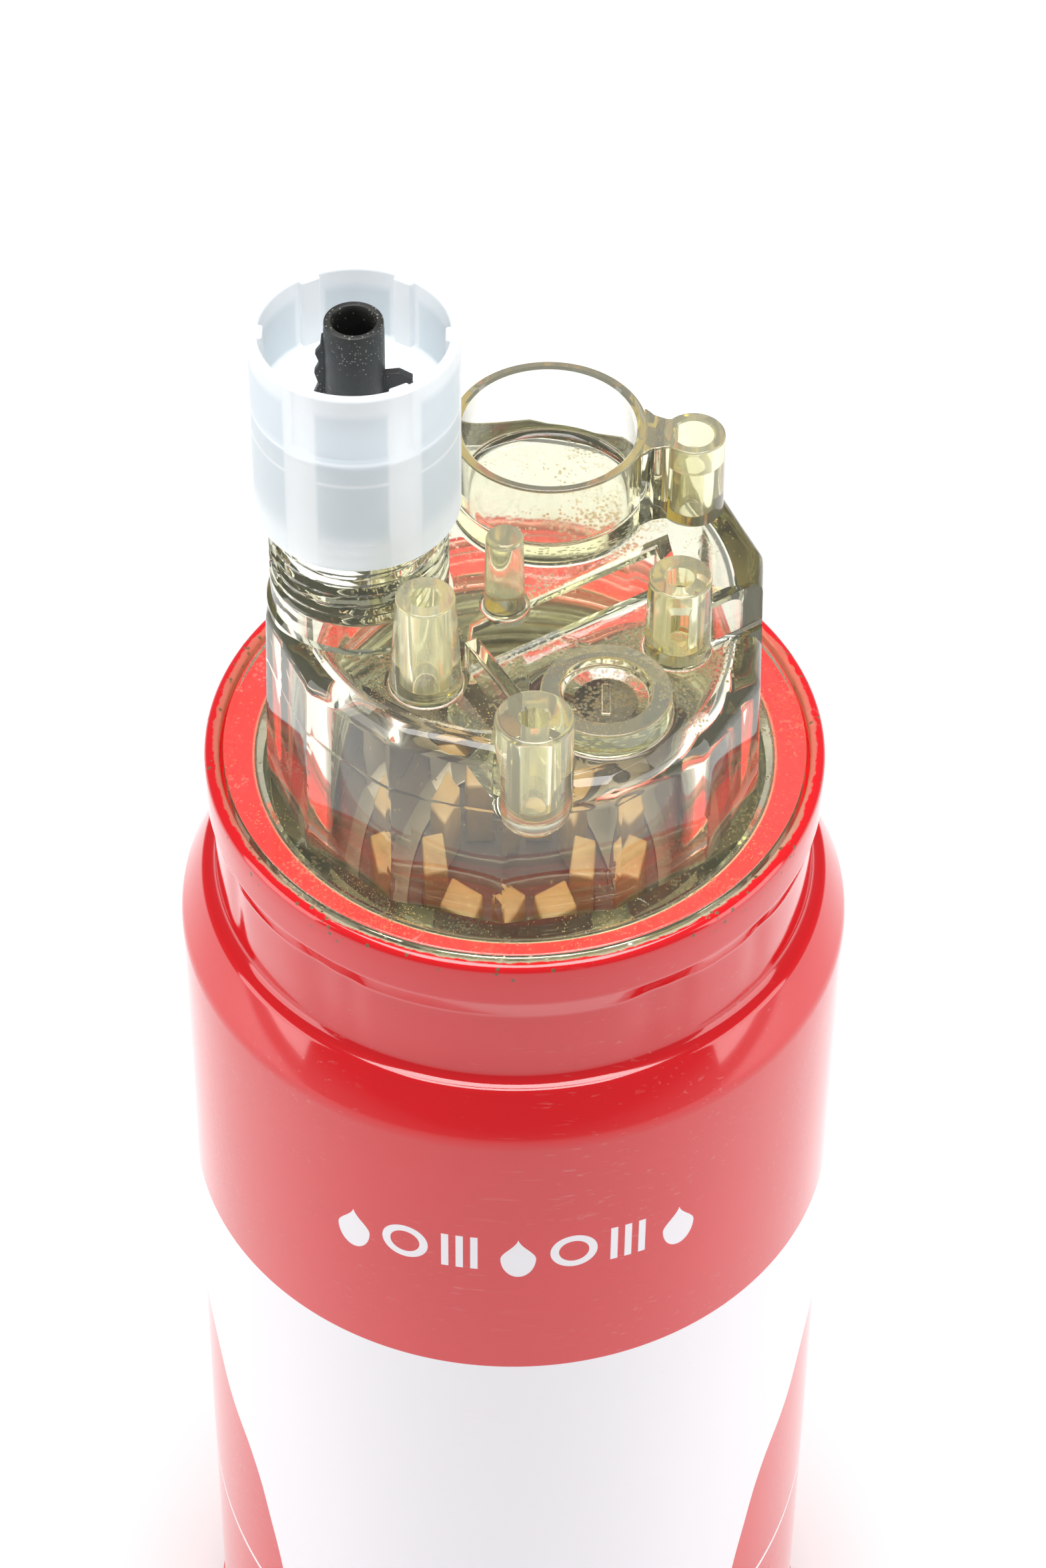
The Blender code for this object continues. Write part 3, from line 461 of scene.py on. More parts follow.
shell = turned("drawn_shell", [
    (SEAT_RADIUS, SEAT_Z - SHEET),
    (SEAT_RADIUS, SEAT_Z, 0.0003),
    (RIM_INNER, SEAT_Z, 0.0006),
    (RIM_INNER, RIM_Z, 0.0009),
    (RIM_RADIUS, RIM_Z, 0.0013),
    (RIM_RADIUS, RIM_Z - 0.0045),
    (RIM_RADIUS, RIM_Z - 0.0080, 0.0040),
    (NECK_RADIUS, RIM_Z - 0.0120, 0.0040),
    (NECK_RADIUS, RIM_Z - 0.0150),
    (NECK_RADIUS, NECK_FOOT_Z + 0.0090),
    (NECK_RADIUS, NECK_FOOT_Z + 0.0060),
    (NECK_RADIUS, NECK_FOOT_Z - 0.0002, 0.0021),
    (SHOULDER_RADIUS, NECK_FOOT_Z - 0.0006, 0.0014),
    (CAN_RADIUS, SHOULDER_Z, 0.0060),
    (CAN_RADIUS, SHOULDER_Z - 0.0100),
    (CAN_RADIUS, 0.1200),
    (CAN_RADIUS, SEAM_LOW + SEAM_HEIGHT + 0.0016, 0.0006),
    (SEAM_RADIUS, SEAM_LOW + SEAM_HEIGHT, 0.0008),
    (SEAM_RADIUS, SEAM_LOW, 0.0012),
    (CAN_RADIUS - SHEET, SEAM_LOW, 0.0004),
    (CAN_RADIUS - SHEET, 0.1200),
    (CAN_RADIUS - SHEET, SHOULDER_Z - 0.0002, 0.0060),
    (SHOULDER_RADIUS - SHEET, NECK_FOOT_Z - 0.0012, 0.0014),
    (NECK_RADIUS - SHEET, NECK_FOOT_Z - 0.0008, 0.0013),
    (NECK_RADIUS - SHEET, NECK_FOOT_Z + 0.0060),
    (NECK_RADIUS - SHEET, RIM_Z - 0.0120),
    (NECK_RADIUS - SHEET, SEAT_Z - SHEET, 0.0004),
], None, facets=288, shape=creased)


def make_can_place():
    """Azimuth in degrees, radius and height of each point about the can's axis."""
    tree, _, result = effect("place on the can", [], [
        ("Azimuth", "NodeSocketFloat"), ("Radius", "NodeSocketFloat"), ("Height", "NodeSocketFloat")])
    where = node(tree, "ShaderNodeTexCoord").outputs["Object"]
    axes = node(tree, "ShaderNodeSeparateXYZ", {0: where}).outputs
    turn = sum_up(tree, "ARCTAN2", axes[1], axes[0])
    tree.links.new(sum_up(tree, "DEGREES", turn), result.inputs[0])
    flat = node(tree, "ShaderNodeCombineXYZ", {0: axes[0], 1: axes[1]}).outputs[0]
    tree.links.new(node(tree, "ShaderNodeVectorMath", {0: flat}, operation="LENGTH").outputs["Value"],
                   result.inputs[1])
    tree.links.new(axes[2], result.inputs[2])
    return tree


def make_scuffs():
    """Fine handling scratches: thin short streaks in three directions, in patches."""
    tree, given, result = effect(
        "handling scuffs",
        [("Scale", "NodeSocketFloat", 60.0), ("Amount", "NodeSocketFloat", 0.5)],
        [("Scratch", "NodeSocketFloat")])
    where = node(tree, "ShaderNodeTexCoord").outputs["Object"]
    total = None
    for i, (turn, stretch) in enumerate(((0.5, 14.0), (-0.9, 18.0), (1.4, 22.0))):
        laid = node(tree, "ShaderNodeMapping", {"Vector": where, "Rotation": (turn, turn * 0.7, turn),
                                                "Scale": (1.0, stretch, stretch),
                                                "Location": (0.13 * i, 0.07 * i, 0.21 * i)}).outputs[0]
        streak = noise(tree, laid, given.outputs["Scale"], 3.0, Distortion=0.4)
        line = ramp(tree, streak, 0.66, 0.72)
        total = line if total is None else sum_up(tree, "MAXIMUM", total, line)
    patch = noise(tree, where, 35.0)
    kept = times(tree, ramp(tree, patch, 0.45, 0.7), given.outputs["Amount"])
    tree.links.new(sum_up(tree, "MULTIPLY", total, kept), result.inputs[0])
    return tree


place_on_can = make_can_place()
handling_scuffs = make_scuffs()

RED = (0.62, 0.006, 0.010)
PRINT_WHITE = (0.80, 0.77, 0.80)
BAND_EDGE_Z = 0.1480
PANEL_TURN = -90.0
MARK_DROP = 0.0272               # shoulder to the middle of the printed symbols
STRIPE_Z = 0.0392
STRIPE_WIDTH = 0.0010
STRIPE_SLOPE = -0.00026


def between(tree, value, low, high, soft):
    """1 where a value lies between low and high, with edges soft wide."""
    rise = ramp(tree, value, minus(tree, low, soft), plus(tree, low, soft))
    fall = ramp(tree, value, minus(tree, high, soft), plus(tree, high, soft))
    return times(tree, rise, minus(tree, 1.0, fall))


def either(tree, *masks):
    total = masks[0]
    for mask in masks[1:]:
        total = sum_up(tree, "MAXIMUM", total, mask)
    return total


def round_off(tree, across, above):
    """How far a point lies from a centre, from its two distances."""
    squares = plus(tree, times(tree, across, across),
                     times(tree, above, above))
    return sum_up(tree, "SQRT", squares)


def pictogram_marks(tree, azimuth, height):
    """Plain printed symbols in the place of a product line: a row of drops, rings and bars."""
    marks = []
    middle = SHOULDER_Z - MARK_DROP
    for place, kind in ((-117.5, "drop"), (-108.0, "ring"), (-98.5, "bars"), (-88.5, "drop"),
                        (-79.0, "ring"), (-69.5, "bars"), (-60.0, "drop")):
        across = times(tree, minus(tree, azimuth, place),
                        math.radians(1.0) * CAN_RADIUS)
        above = minus(tree, height, middle)
        if kind == "bars":
            for shift in (-0.0024, 0.0, 0.0024):
                wide = between(tree, across, shift - 0.0006, shift + 0.0006, 0.00006)
                tall = between(tree, above, -0.0040, 0.0040, 0.00006)
                marks.append(times(tree, wide, tall))
            continue
        if kind == "drop":
            narrow = ramp(tree, above, -0.0012, 0.0044, 1.0, 0.02)
            across = sum_up(tree, "DIVIDE", across, narrow)
            above = times(tree, plus(tree, above, 0.0010), 0.62)
            marks.append(between(tree, round_off(tree, across, above), -1.0, 0.0029, 0.00006))
        else:
            marks.append(between(tree, round_off(tree, across, above), 0.0025, 0.0039, 0.00006))
    return either(tree, *marks)


def printed_lacquer():
    """Gloss red lacquer with a white panel that narrows downwards, worn through on the rim."""
    made, tree, shader = new_material("red_lacquer", RED, 0.1)
    shader.inputs["Coat Weight"].default_value = 0.35
    shader.inputs["Coat Roughness"].default_value = 0.03
    place = use(tree, place_on_can)
    azimuth, radius, height = place.outputs
    off = sum_up(tree, "ABSOLUTE", minus(tree, azimuth, PANEL_TURN))
    off = sum_up(tree, "MINIMUM", off, minus(tree, 360.0, off))
    drop = minus(tree, SHOULDER_Z, height)
    reach = node(tree, "ShaderNodeFloatCurve", {"Value": times(tree, drop, 5.0)})
    curve = reach.mapping.curves[0]
    stops = ((0.0, 0.55), (0.44, 0.50), (0.48, 0.405), (0.535, 0.356), (0.58, 0.313), (0.66, 0.280),
             (0.73, 0.262), (1.0, 0.225))
    curve.points[0].location, curve.points[1].location = stops[0], stops[-1]
    for stop in stops[1:-1]:
        curve.points.new(*stop)
    reach.mapping.update()
    edge = times(tree, reach.outputs[0], 180.0)
    panel = ramp(tree, minus(tree, off, edge), -0.06, 0.06, 1.0, 0.0)
    below_band = ramp(tree, height, BAND_EDGE_Z - 0.0001, BAND_EDGE_Z + 0.0001, 1.0, 0.0)
    panel = times(tree, panel, below_band)
    slope = plus(tree, height, times(tree, off, STRIPE_SLOPE))
    stripe = between(tree, slope, STRIPE_Z, STRIPE_Z + STRIPE_WIDTH, 0.0001)
    white = either(tree, panel, stripe, pictogram_marks(tree, azimuth, height))
    surface = use(tree, mottled_surface, Scale=35.0, Roughness=0.09, Variation=0.05,
                  Grain_Scale=400.0)
    scuffs = use(tree, handling_scuffs, Scale=55.0, Amount=0.5)
    ageing = blend(tree, times(tree, surface.outputs["Blotch"], 0.25), RED,
                   (0.50, 0.006, 0.010))
    printed = blend(tree, white, ageing, PRINT_WHITE)
    # Wear: the rolled rim's inner edge is rubbed down to steel, ragged and patchy.
    where = node(tree, "ShaderNodeTexCoord").outputs["Object"]
    rag = noise(tree, where, 260.0, 6.0, Roughness=0.7)
    jitter = times(tree, minus(tree, rag, 0.5), 0.0022)
    inward = ramp(tree, plus(tree, radius, jitter), 0.04815, 0.04850, 1.0, 0.0)
    on_rim = ramp(tree, height, RIM_Z - 0.0030, RIM_Z - 0.0012)
    bare = times(tree, inward, on_rim)
    lip = between(tree, radius, 0.0400, SEAT_RADIUS + 0.0004, 0.0001)
    front = between(tree, azimuth, -140.0, -30.0, 25.0)
    bare = times(tree, either(tree, bare, lip), plus(tree, times(tree, front, 0.75), 0.25))
    crumbs = use(tree, settled_dust, Scale=800.0, Size=0.22, Amount=0.75)
    near_rim = between(tree, height, RIM_Z - 0.0030, RIM_Z + 0.001, 0.0008)
    dirt = times(tree, crumbs.outputs[0], near_rim)
    cream = blend(tree, rag, (0.42, 0.36, 0.24), (0.86, 0.80, 0.62))
    worn = blend(tree, bare, printed, cream)
    soiled = blend(tree, dirt, worn, (0.16, 0.08, 0.03))
    tree.links.new(blend(tree, times(tree, scuffs.outputs[0], 0.25), soiled,
                         (0.75, 0.55, 0.50)), shader.inputs["Base Color"])
    rough = plus(tree, surface.outputs["Roughness"],
                   times(tree, scuffs.outputs[0], 0.25))
    rough = plus(tree, rough, times(tree, dirt, 0.5))
    tree.links.new(plus(tree, rough, times(tree, bare, 0.2)),
                   shader.inputs["Roughness"])
    tree.links.new(times(tree, bare, 0.6), shader.inputs["Metallic"])
    orange_peel = noise(tree, where, 130.0, 1.0)
    relief = minus(tree, orange_peel, times(tree, bare, 0.6))
    relief = plus(tree, relief, times(tree, dirt, 1.0))
    add_bump(tree, shader, relief, 0.12, 0.00012)
    return made


red_lacquer = printed_lacquer()
shell.data.materials.append(red_lacquer)
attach(shell, "can")
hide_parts("can_shell")


# --------------------------------------------------------- Bowl collar and spring
# A machined steel ring under the seat takes the bowl's thread, and a stamped spring ring with bent
# legs stands on the element and presses it down from under the collar.

COLLAR_LOW, COLLAR_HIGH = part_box("bowl_collar")
COLLAR_BORE = SEAT_RADIUS
SKIRT_PITCH = 0.0030


def collar_thread(azimuth, radius, height):
    """A rounded thread in the collar's bore, cut back into the wall."""
    wave = 0.5 - 0.5 * np.cos(2 * math.pi * helix(azimuth, height, SKIRT_PITCH))
    bored = radius < COLLAR_BORE + 1e-6
    return np.where(bored, radius + 0.0010 * wave, radius), height


COLLAR_RINGS = 48
collar_wall = [(COLLAR_BORE, COLLAR_LOW.z + (COLLAR_HIGH.z - COLLAR_LOW.z) * i / COLLAR_RINGS)
               for i in range(1, COLLAR_RINGS)]
collar = turned("threaded_collar", [
    (COLLAR_BORE, COLLAR_LOW.z), *collar_wall, (COLLAR_BORE, COLLAR_HIGH.z),
    (COLLAR_HIGH.x, COLLAR_HIGH.z, 0.0004),
    (COLLAR_HIGH.x, COLLAR_LOW.z, 0.0004),
], bare_steel, shape=collar_thread, crease=50)
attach(collar, "can")
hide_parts("bowl_collar")

SPRING_LOW, SPRING_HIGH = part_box("support_spring")
SPRING_LEGS = 6
SPRING_INNER = 0.0235
SPRING_OUTER = 0.0305
SPRING_FOOT = 0.0442
LEG_WIDTH = 0.0090


def finish_with(tree, given, result, geometry):
    """Make instances real, give them the tree's material and send them out."""
    real = node(tree, "GeometryNodeRealizeInstances", {0: geometry})
    coated = node(tree, "GeometryNodeSetMaterial", {"Geometry": real.outputs[0],
                                                    "Material": given.outputs["Finish"]})
    tree.links.new(coated.outputs[0], result.inputs[0])
    return tree


def socket_key(tree, label):
    """The identifier of a named input, which a modifier is set by."""
    return next(item.identifier for item in tree.interface.items_tree
                if item.item_type == "SOCKET" and item.in_out == "INPUT" and item.name == label)


def geometry_tree(name, inputs):
    """A geometry node tree with named inputs; gives the tree, its input and its output node."""
    tree = bpy.data.node_groups.new(name, "GeometryNodeTree")
    for label, kind, default in inputs:
        socket = tree.interface.new_socket(label, in_out="INPUT", socket_type=kind)
        if default is not None:
            socket.default_value = default
    tree.interface.new_socket("Geometry", in_out="OUTPUT", socket_type="NodeSocketGeometry")
    return tree, tree.nodes.new("NodeGroupInput"), tree.nodes.new("NodeGroupOutput")


def grown(name, tree, finish, crease=32, **values):
    """Run a geometry tree on an empty mesh and give its result as a plain mesh object."""
    seed = set_out(name, bpy.data.meshes.new(name))
    modifier = seed.modifiers.new("grow", "NODES")
    modifier.node_group = tree
    for key, value in values.items():
        modifier[socket_key(tree, key.replace("_", " "))] = value
    modifier[socket_key(tree, "Finish")] = finish
    seed.update_tag()
    return settled(seed, name, crease=crease)


def make_ring_of_copies():
    """Copies of one piece stood evenly round an upright axis."""
    tree, given, result = geometry_tree("ring of copies", [
        ("Piece", "NodeSocketObject", None), ("Count", "NodeSocketInt", 6),
        ("Start", "NodeSocketFloat", 0.0), ("Centre", "NodeSocketVector", None),
        ("Finish", "NodeSocketMaterial", None)])
    spots = node(tree, "GeometryNodeMeshLine", {"Count": given.outputs["Count"],
                                                "Offset": (0.0, 0.0, 0.0)})
    source = node(tree, "GeometryNodeObjectInfo", {"Object": given.outputs["Piece"]})
    step = sum_up(tree, "DIVIDE", 2 * math.pi, given.outputs["Count"])
    order = node(tree, "GeometryNodeInputIndex").outputs[0]
    turn = plus(tree, times(tree, order, step), given.outputs["Start"])
    facing = node(tree, "ShaderNodeCombineXYZ", {2: turn}).outputs[0]
    copies = node(tree, "GeometryNodeInstanceOnPoints", {
        "Points": spots.outputs[0], "Instance": source.outputs["Geometry"], "Rotation": facing})
    moved = node(tree, "GeometryNodeTranslateInstances", {
        "Instances": copies.outputs[0], "Translation": given.outputs["Centre"]})
    moved.inputs["Local Space"].default_value = False
    return finish_with(tree, given, result, moved.outputs[0])


ring_of_copies = make_ring_of_copies()


def swept(name, corners, travel, soft=0.0):
    """Sweep a flat outline along a straight travel into a closed block, with eased edges."""
    shape = bmesh.new()
    face = shape.faces.new([shape.verts.new(corner) for corner in corners])
    drawn = bmesh.ops.extrude_face_region(shape, geom=[face], use_keep_orig=True)
    far = [item for item in drawn["geom"] if isinstance(item, bmesh.types.BMVert)]
    bmesh.ops.translate(shape, verts=far, vec=travel)
    bmesh.ops.recalc_face_normals(shape, faces=shape.faces)
    if soft:
        bmesh.ops.bevel(shape, geom=shape.edges[:], offset=soft, segments=3, profile=0.5,
                        affect="EDGES", clamp_overlap=True)
    mesh = bpy.data.meshes.new(name)
    shape.to_mesh(mesh)
    shape.free()
    return set_out(name, mesh, 32)


spring_steel = plated_steel("spring_steel", (0.20, 0.17, 0.14), 0.45, tint=(0.13, 0.09, 0.05))
leg_outline = [(SPRING_OUTER - 0.0015, SPRING_LOW.z), (SPRING_FOOT, SPRING_HIGH.z - SHEET),
               (SPRING_FOOT + 0.0020, SPRING_HIGH.z - SHEET), (SPRING_FOOT + 0.0020, SPRING_HIGH.z),
               (SPRING_FOOT - 0.0004, SPRING_HIGH.z), (SPRING_OUTER - 0.0015, SPRING_LOW.z + SHEET)]
leg = swept("spring_leg", [(r, -LEG_WIDTH / 2, z) for r, z in leg_outline], (0.0, LEG_WIDTH, 0.0),
            0.0002)
legs = grown("spring_legs", ring_of_copies, spring_steel, Piece=leg, Count=SPRING_LEGS)
bpy.data.objects.remove(leg, do_unlink=True)
ring = turned("spring_ring", ring_outline(SPRING_INNER, SPRING_OUTER, SPRING_LOW.z,
                                          SPRING_LOW.z + SHEET, *[0.0003] * 4), spring_steel)
spring = shaped(ring, [("UNION", legs)], "support_spring_pressing")
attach(spring, "can")
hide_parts("support_spring")


# -------------------------------------------------------------- Filter element
# Pleated paper between two end caps, potted in brown resin, with a woven water screen on a steel
# centre tube and three glue bands round the pleats. The upper cap is moulded with a ring of blocks.

MEDIA_LOW, MEDIA_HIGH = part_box("filter_media")
PLEATS = 64
MEDIA_INNER = 0.0247
MEDIA_OUTER = MEDIA_HIGH.x
PAPER = 0.0006
PLEAT_MERGE = 0.01


def make_pleats():
    """A closed zigzag of paper, drawn as a star outline and raised to its height."""
    tree, given, result = geometry_tree("pleated ring", [
        ("Pleats", "NodeSocketInt", 64), ("Inner Radius", "NodeSocketFloat", 0.02),
        ("Outer Radius", "NodeSocketFloat", 0.04), ("Paper", "NodeSocketFloat", 0.001),
        ("Base", "NodeSocketFloat", 0.0), ("Height", "NodeSocketFloat", 0.1),
        ("Finish", "NodeSocketMaterial", None)])
    star = node(tree, "GeometryNodeCurveStar", {
        "Points": given.outputs["Pleats"], "Inner Radius": given.outputs["Inner Radius"],
        "Outer Radius": given.outputs["Outer Radius"]})
    strip = node(tree, "GeometryNodeCurvePrimitiveLine", {
        "Start": (0.0, 0.0, 0.0),
        "End": node(tree, "ShaderNodeCombineXYZ", {
            1: times(tree, given.outputs["Height"], -1.0)}).outputs[0]})
    wall = node(tree, "GeometryNodeCurveToMesh", {"Curve": star.outputs[0],
                                                  "Profile Curve": strip.outputs[0]})
    thick = node(tree, "GeometryNodeExtrudeMesh", {"Mesh": wall.outputs[0],
                                                   "Offset Scale": given.outputs["Paper"],
                                                   "Individual": False}, mode="FACES")
    back = node(tree, "GeometryNodeFlipFaces", {"Mesh": wall.outputs[0]})
    both = node(tree, "GeometryNodeJoinGeometry")
    tree.links.new(thick.outputs[0], both.inputs[0])
    tree.links.new(back.outputs[0], both.inputs[0])
    closed = node(tree, "GeometryNodeMergeByDistance", {
        "Geometry": both.outputs[0], "Distance": times(tree, given.outputs["Paper"], PLEAT_MERGE)})
    lifted = node(tree, "GeometryNodeTransform", {
        "Geometry": closed.outputs[0],
        "Translation": node(tree, "ShaderNodeCombineXYZ", {2: given.outputs["Base"]}).outputs[0]})
    return finish_with(tree, given, result, lifted.outputs[0])


def fibrous(name, colour, stain):
    """Resin-cured filter paper: fibre grain and slow stains."""
    made, tree, shader = new_material(name, colour, 0.9)
    surface = use(tree, mottled_surface, Scale=80.0, Roughness=0.88, Variation=0.12,
                  Grain_Scale=2600.0)
    tree.links.new(blend(tree, times(tree, surface.outputs["Blotch"], 0.6), colour, stain),
                   shader.inputs["Base Color"])
    tree.links.new(surface.outputs["Roughness"], shader.inputs["Roughness"])
    add_bump(tree, shader, surface.outputs["Grain"], 0.6, 0.00008)
    return made


pleated_paper = fibrous("pleated_paper", (0.70, 0.50, 0.25), (0.52, 0.34, 0.14))
media = grown("pleat_pack", make_pleats(), pleated_paper, Pleats=PLEATS, Paper=PAPER,
              Inner_Radius=MEDIA_INNER + PAPER, Outer_Radius=MEDIA_OUTER - 3 * PAPER,
              Base=MEDIA_LOW.z, Height=MEDIA_HIGH.z - MEDIA_LOW.z)
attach(media, "can")
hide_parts("filter_media")


def potting_resin(name, colour, deep):
    """Cast resin and moulded end-cap plastic: slow colour drift, satin skin, settled fuel dust."""
    made, tree, shader = new_material(name, colour, 0.45)
    surface = use(tree, mottled_surface, Scale=90.0, Roughness=0.42, Variation=0.2)
    hue = blend(tree, surface.outputs["Blotch"], colour, deep)
    dust = use(tree, settled_dust, Scale=600.0, Size=0.2, Amount=0.6)
    tree.links.new(blend(tree, times(tree, dust.outputs[0], 0.5), hue, (0.40, 0.28, 0.12)),
                   shader.inputs["Base Color"])
    tree.links.new(surface.outputs["Roughness"], shader.inputs["Roughness"])
    add_bump(tree, shader, surface.outputs["Grain"], 0.3, 0.00005)
    return made


# Dark brown resin, darkened further as painted shade for the can's interior under the bowl.
brown_potting = potting_resin("brown_potting", (0.050, 0.022, 0.013), (0.026, 0.012, 0.008))
# The blocks are the cap's brown plastic painted a lighter tan: painted light on their upright faces.
tan_blocks = potting_resin("tan_blocks", (0.36, 0.22, 0.09), (0.24, 0.14, 0.05))
END_CAP_LOW, END_CAP_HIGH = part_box("element_upper_cap")
END_CAP_RADIUS = END_CAP_HIGH.x
end_cap = turned("upper_cap_moulding", [
    (0.0, END_CAP_HIGH.z - 0.0010),
    (0.0180, END_CAP_HIGH.z - 0.0010, 0.0006),
    (0.0190, END_CAP_HIGH.z, 0.0006),
    (0.0400, END_CAP_HIGH.z, 0.0008),
    (0.0412, END_CAP_HIGH.z - 0.0012, 0.0008),
    (END_CAP_RADIUS, END_CAP_HIGH.z - 0.0012, 0.0008),
    (END_CAP_RADIUS, END_CAP_LOW.z, 0.0004),
    (0.0, END_CAP_LOW.z),
], brown_potting)
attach(end_cap, "can")
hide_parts("element_upper_cap")


def straight_block(name, start, end, axis=2, soft=0.0):
    """A block from one corner to the opposite one, drawn at the first and swept along an axis."""
    other = 3 - axis
    corners = []
    for i, j in ((0, 0), (1, 0), (1, 1), (0, 1)):
        corner = list(start)
        corner[0], corner[other] = (start, end)[i][0], (start, end)[j][other]
        corners.append(corner)
    travel = [0.0, 0.0, 0.0]
    travel[axis] = end[axis] - start[axis]
    return swept(name, corners, travel, soft)


BLOCKS = 7
BLOCK_CIRCLE = 0.0150
BLOCK_WIDTH = 0.0092
BLOCK_DEPTH = 0.0070
BLOCK_HEIGHT = 0.0130
BLOCK_FOOT = END_CAP_HIGH.z - 0.0008
BLOCK_START = math.radians(-65.0)
block = straight_block("cap_block", (BLOCK_CIRCLE - BLOCK_DEPTH / 2, -BLOCK_WIDTH / 2, BLOCK_FOOT),
                       (BLOCK_CIRCLE + BLOCK_DEPTH / 2, BLOCK_WIDTH / 2, BLOCK_FOOT + BLOCK_HEIGHT),
                       soft=0.0007)
blocks = grown("cap_blocks", ring_of_copies, tan_blocks, Piece=block, Count=BLOCKS,
               Start=BLOCK_START)
bpy.data.objects.remove(block, do_unlink=True)
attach(blocks, "can")

POTTING_BORE = 0.0217
for label in ("lower_potting", "upper_potting"):
    low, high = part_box(label)
    resin = turned(label + "_resin", ring_outline(POTTING_BORE, high.x, low.z, high.z,
                                                  0.0006, 0.0006, 0.0003, 0.0003), brown_potting)
    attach(resin, "can")
    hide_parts(label)

glue = fibrous("glue", (0.80, 0.74, 0.55), (0.68, 0.58, 0.38))


def beaded(azimuth, radius, height):
    """The glue bulges a little into each pleat."""
    swell = 0.00012 * np.cos(PLEATS * azimuth)
    return radius + swell * (radius < MEDIA_OUTER + 0.0004), height


for i in range(3):
    low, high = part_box(f"pleat_band_{i + 1}")
    outline = ring_outline(MEDIA_OUTER + 0.0003, high.x, low.z, high.z, 0.0002, 0.0004, 0.0004, 0.0002)
    band = turned(f"glue_band_{i + 1}", outline, glue, facets=320, steps=3, shape=beaded)
    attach(band, "can")
    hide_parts(f"pleat_band_{i + 1}")

TUBE_LOW, TUBE_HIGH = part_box("centre_tube")
TUBE_RADIUS = TUBE_HIGH.x
TUBE_WALL = 0.0007
tube = turned("rolled_tube", ring_outline(TUBE_RADIUS - TUBE_WALL, TUBE_RADIUS, TUBE_LOW.z,
                                          TUBE_HIGH.z), bare_steel, facets=144)
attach(tube, "can")
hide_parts("centre_tube")


def woven_screen():
    """Fine woven mesh: two sets of threads crossing round the tube."""
    made, tree, shader = new_material("screen_mesh", (0.72, 0.72, 0.68), 0.6)
    azimuth, _, height = use(tree, place_on_can).outputs
    warp = sum_up(tree, "SINE", times(tree, azimuth, 6.0))
    weft = sum_up(tree, "SINE", times(tree, height, 14000.0))
    weave = times(tree, warp, weft)
    tree.links.new(blend(tree, ramp(tree, weave, -0.5, 0.5), (0.78, 0.78, 0.74), (0.46, 0.45, 0.41)),
                   shader.inputs["Base Color"])
    add_bump(tree, shader, weave, 0.6, 0.0001)
    return made


SCREEN_LOW, SCREEN_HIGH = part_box("water_screen")
SCREEN_WALL = 0.0005
screen = turned("screen_sleeve", ring_outline(SCREEN_HIGH.x - SCREEN_WALL, SCREEN_HIGH.x, SCREEN_LOW.z,
                                              SCREEN_HIGH.z), woven_screen(), facets=144)
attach(screen, "can")
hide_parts("water_screen")

LOWER_CAP_LOW, LOWER_CAP_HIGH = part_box("element_lower_cap")
CAP_SHEET = 0.0005
ELEMENT_BORE = 0.0209
GROMMET_LOW, GROMMET_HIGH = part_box("inner_grommet")
GROMMET_TOP = GROMMET_HIGH.z
lower_cap = turned("lower_cap_pressing", [
    (ELEMENT_BORE, GROMMET_TOP),
    (ELEMENT_BORE + CAP_SHEET, GROMMET_TOP),
    (ELEMENT_BORE + CAP_SHEET, LOWER_CAP_LOW.z + CAP_SHEET, 0.0006),
    (LOWER_CAP_HIGH.x - CAP_SHEET, LOWER_CAP_LOW.z + CAP_SHEET, 0.0010),
    (LOWER_CAP_HIGH.x - CAP_SHEET, LOWER_CAP_HIGH.z),
    (LOWER_CAP_HIGH.x, LOWER_CAP_HIGH.z),
    (LOWER_CAP_HIGH.x, LOWER_CAP_LOW.z, 0.0015),
    (ELEMENT_BORE, LOWER_CAP_LOW.z, 0.0011),
], bare_steel)
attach(lower_cap, "can")
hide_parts("element_lower_cap")

grommet = turned("grommet_ring", ring_outline(HUB_RADIUS + 0.0003, GROMMET_HIGH.x, GROMMET_LOW.z,
                                              GROMMET_HIGH.z, *[0.0008] * 4),
                 black_rubber, facets=120)
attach(grommet, "can")
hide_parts("inner_grommet")


# ----------------------------------------------------------------- Water bowl
# One clear moulding: flange, fourteen soft wrench flats, two floors with a step between them, screw
# bosses, a blind cup with an ear, a blanked port ring and the drain's threaded spigot. The plastic is
# clear with a faint straw tint that deepens where it is thick, and dust has settled on its floors.

FLANGE_RADIUS = 0.0468
FLANGE_Z = RIM_Z
FLANGE_BASE = SEAT_Z + 0.0003
SKIRT_RADIUS = SEAT_RADIUS - 0.0003
SKIRT_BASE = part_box("bowl")[0].z
BARREL_RADIUS = 0.0393
FLATS = 14
FLAT_TURN = math.radians(-92.4)
CORNER_RADIUS = 0.0401
CORNER_EASE = 0.00012
DRAFT = 0.0009
UPPER_FLOOR = 0.2765
LOWER_FLOOR = 0.2670
BOWL_WALL = 0.0030
CAVITY_RADIUS = 0.0352


def flatted(azimuth, radius, height):
    """Press fourteen soft flats into the barrel and lean its wall inwards by the mould's draft."""
    pitch = 2 * math.pi / FLATS
    off = (azimuth - FLAT_TURN) % pitch - pitch / 2
    sharp = 1.0 / np.cos(off)
    flat = CORNER_RADIUS * math.cos(pitch / 2) * sharp
    blunt = CORNER_RADIUS * 1.0008 + 0 * flat
    near = np.exp((CORNER_RADIUS - flat) / CORNER_EASE) + np.exp((CORNER_RADIUS - blunt) / CORNER_EASE)
    soft = CORNER_RADIUS - np.log(near) * CORNER_EASE
    up = np.clip((height - FLANGE_Z) / (UPPER_FLOOR - FLANGE_Z), 0, 1)
    scale = (soft - DRAFT * up) / BARREL_RADIUS
    return np.where(radius > 0.02, radius * scale, radius), height


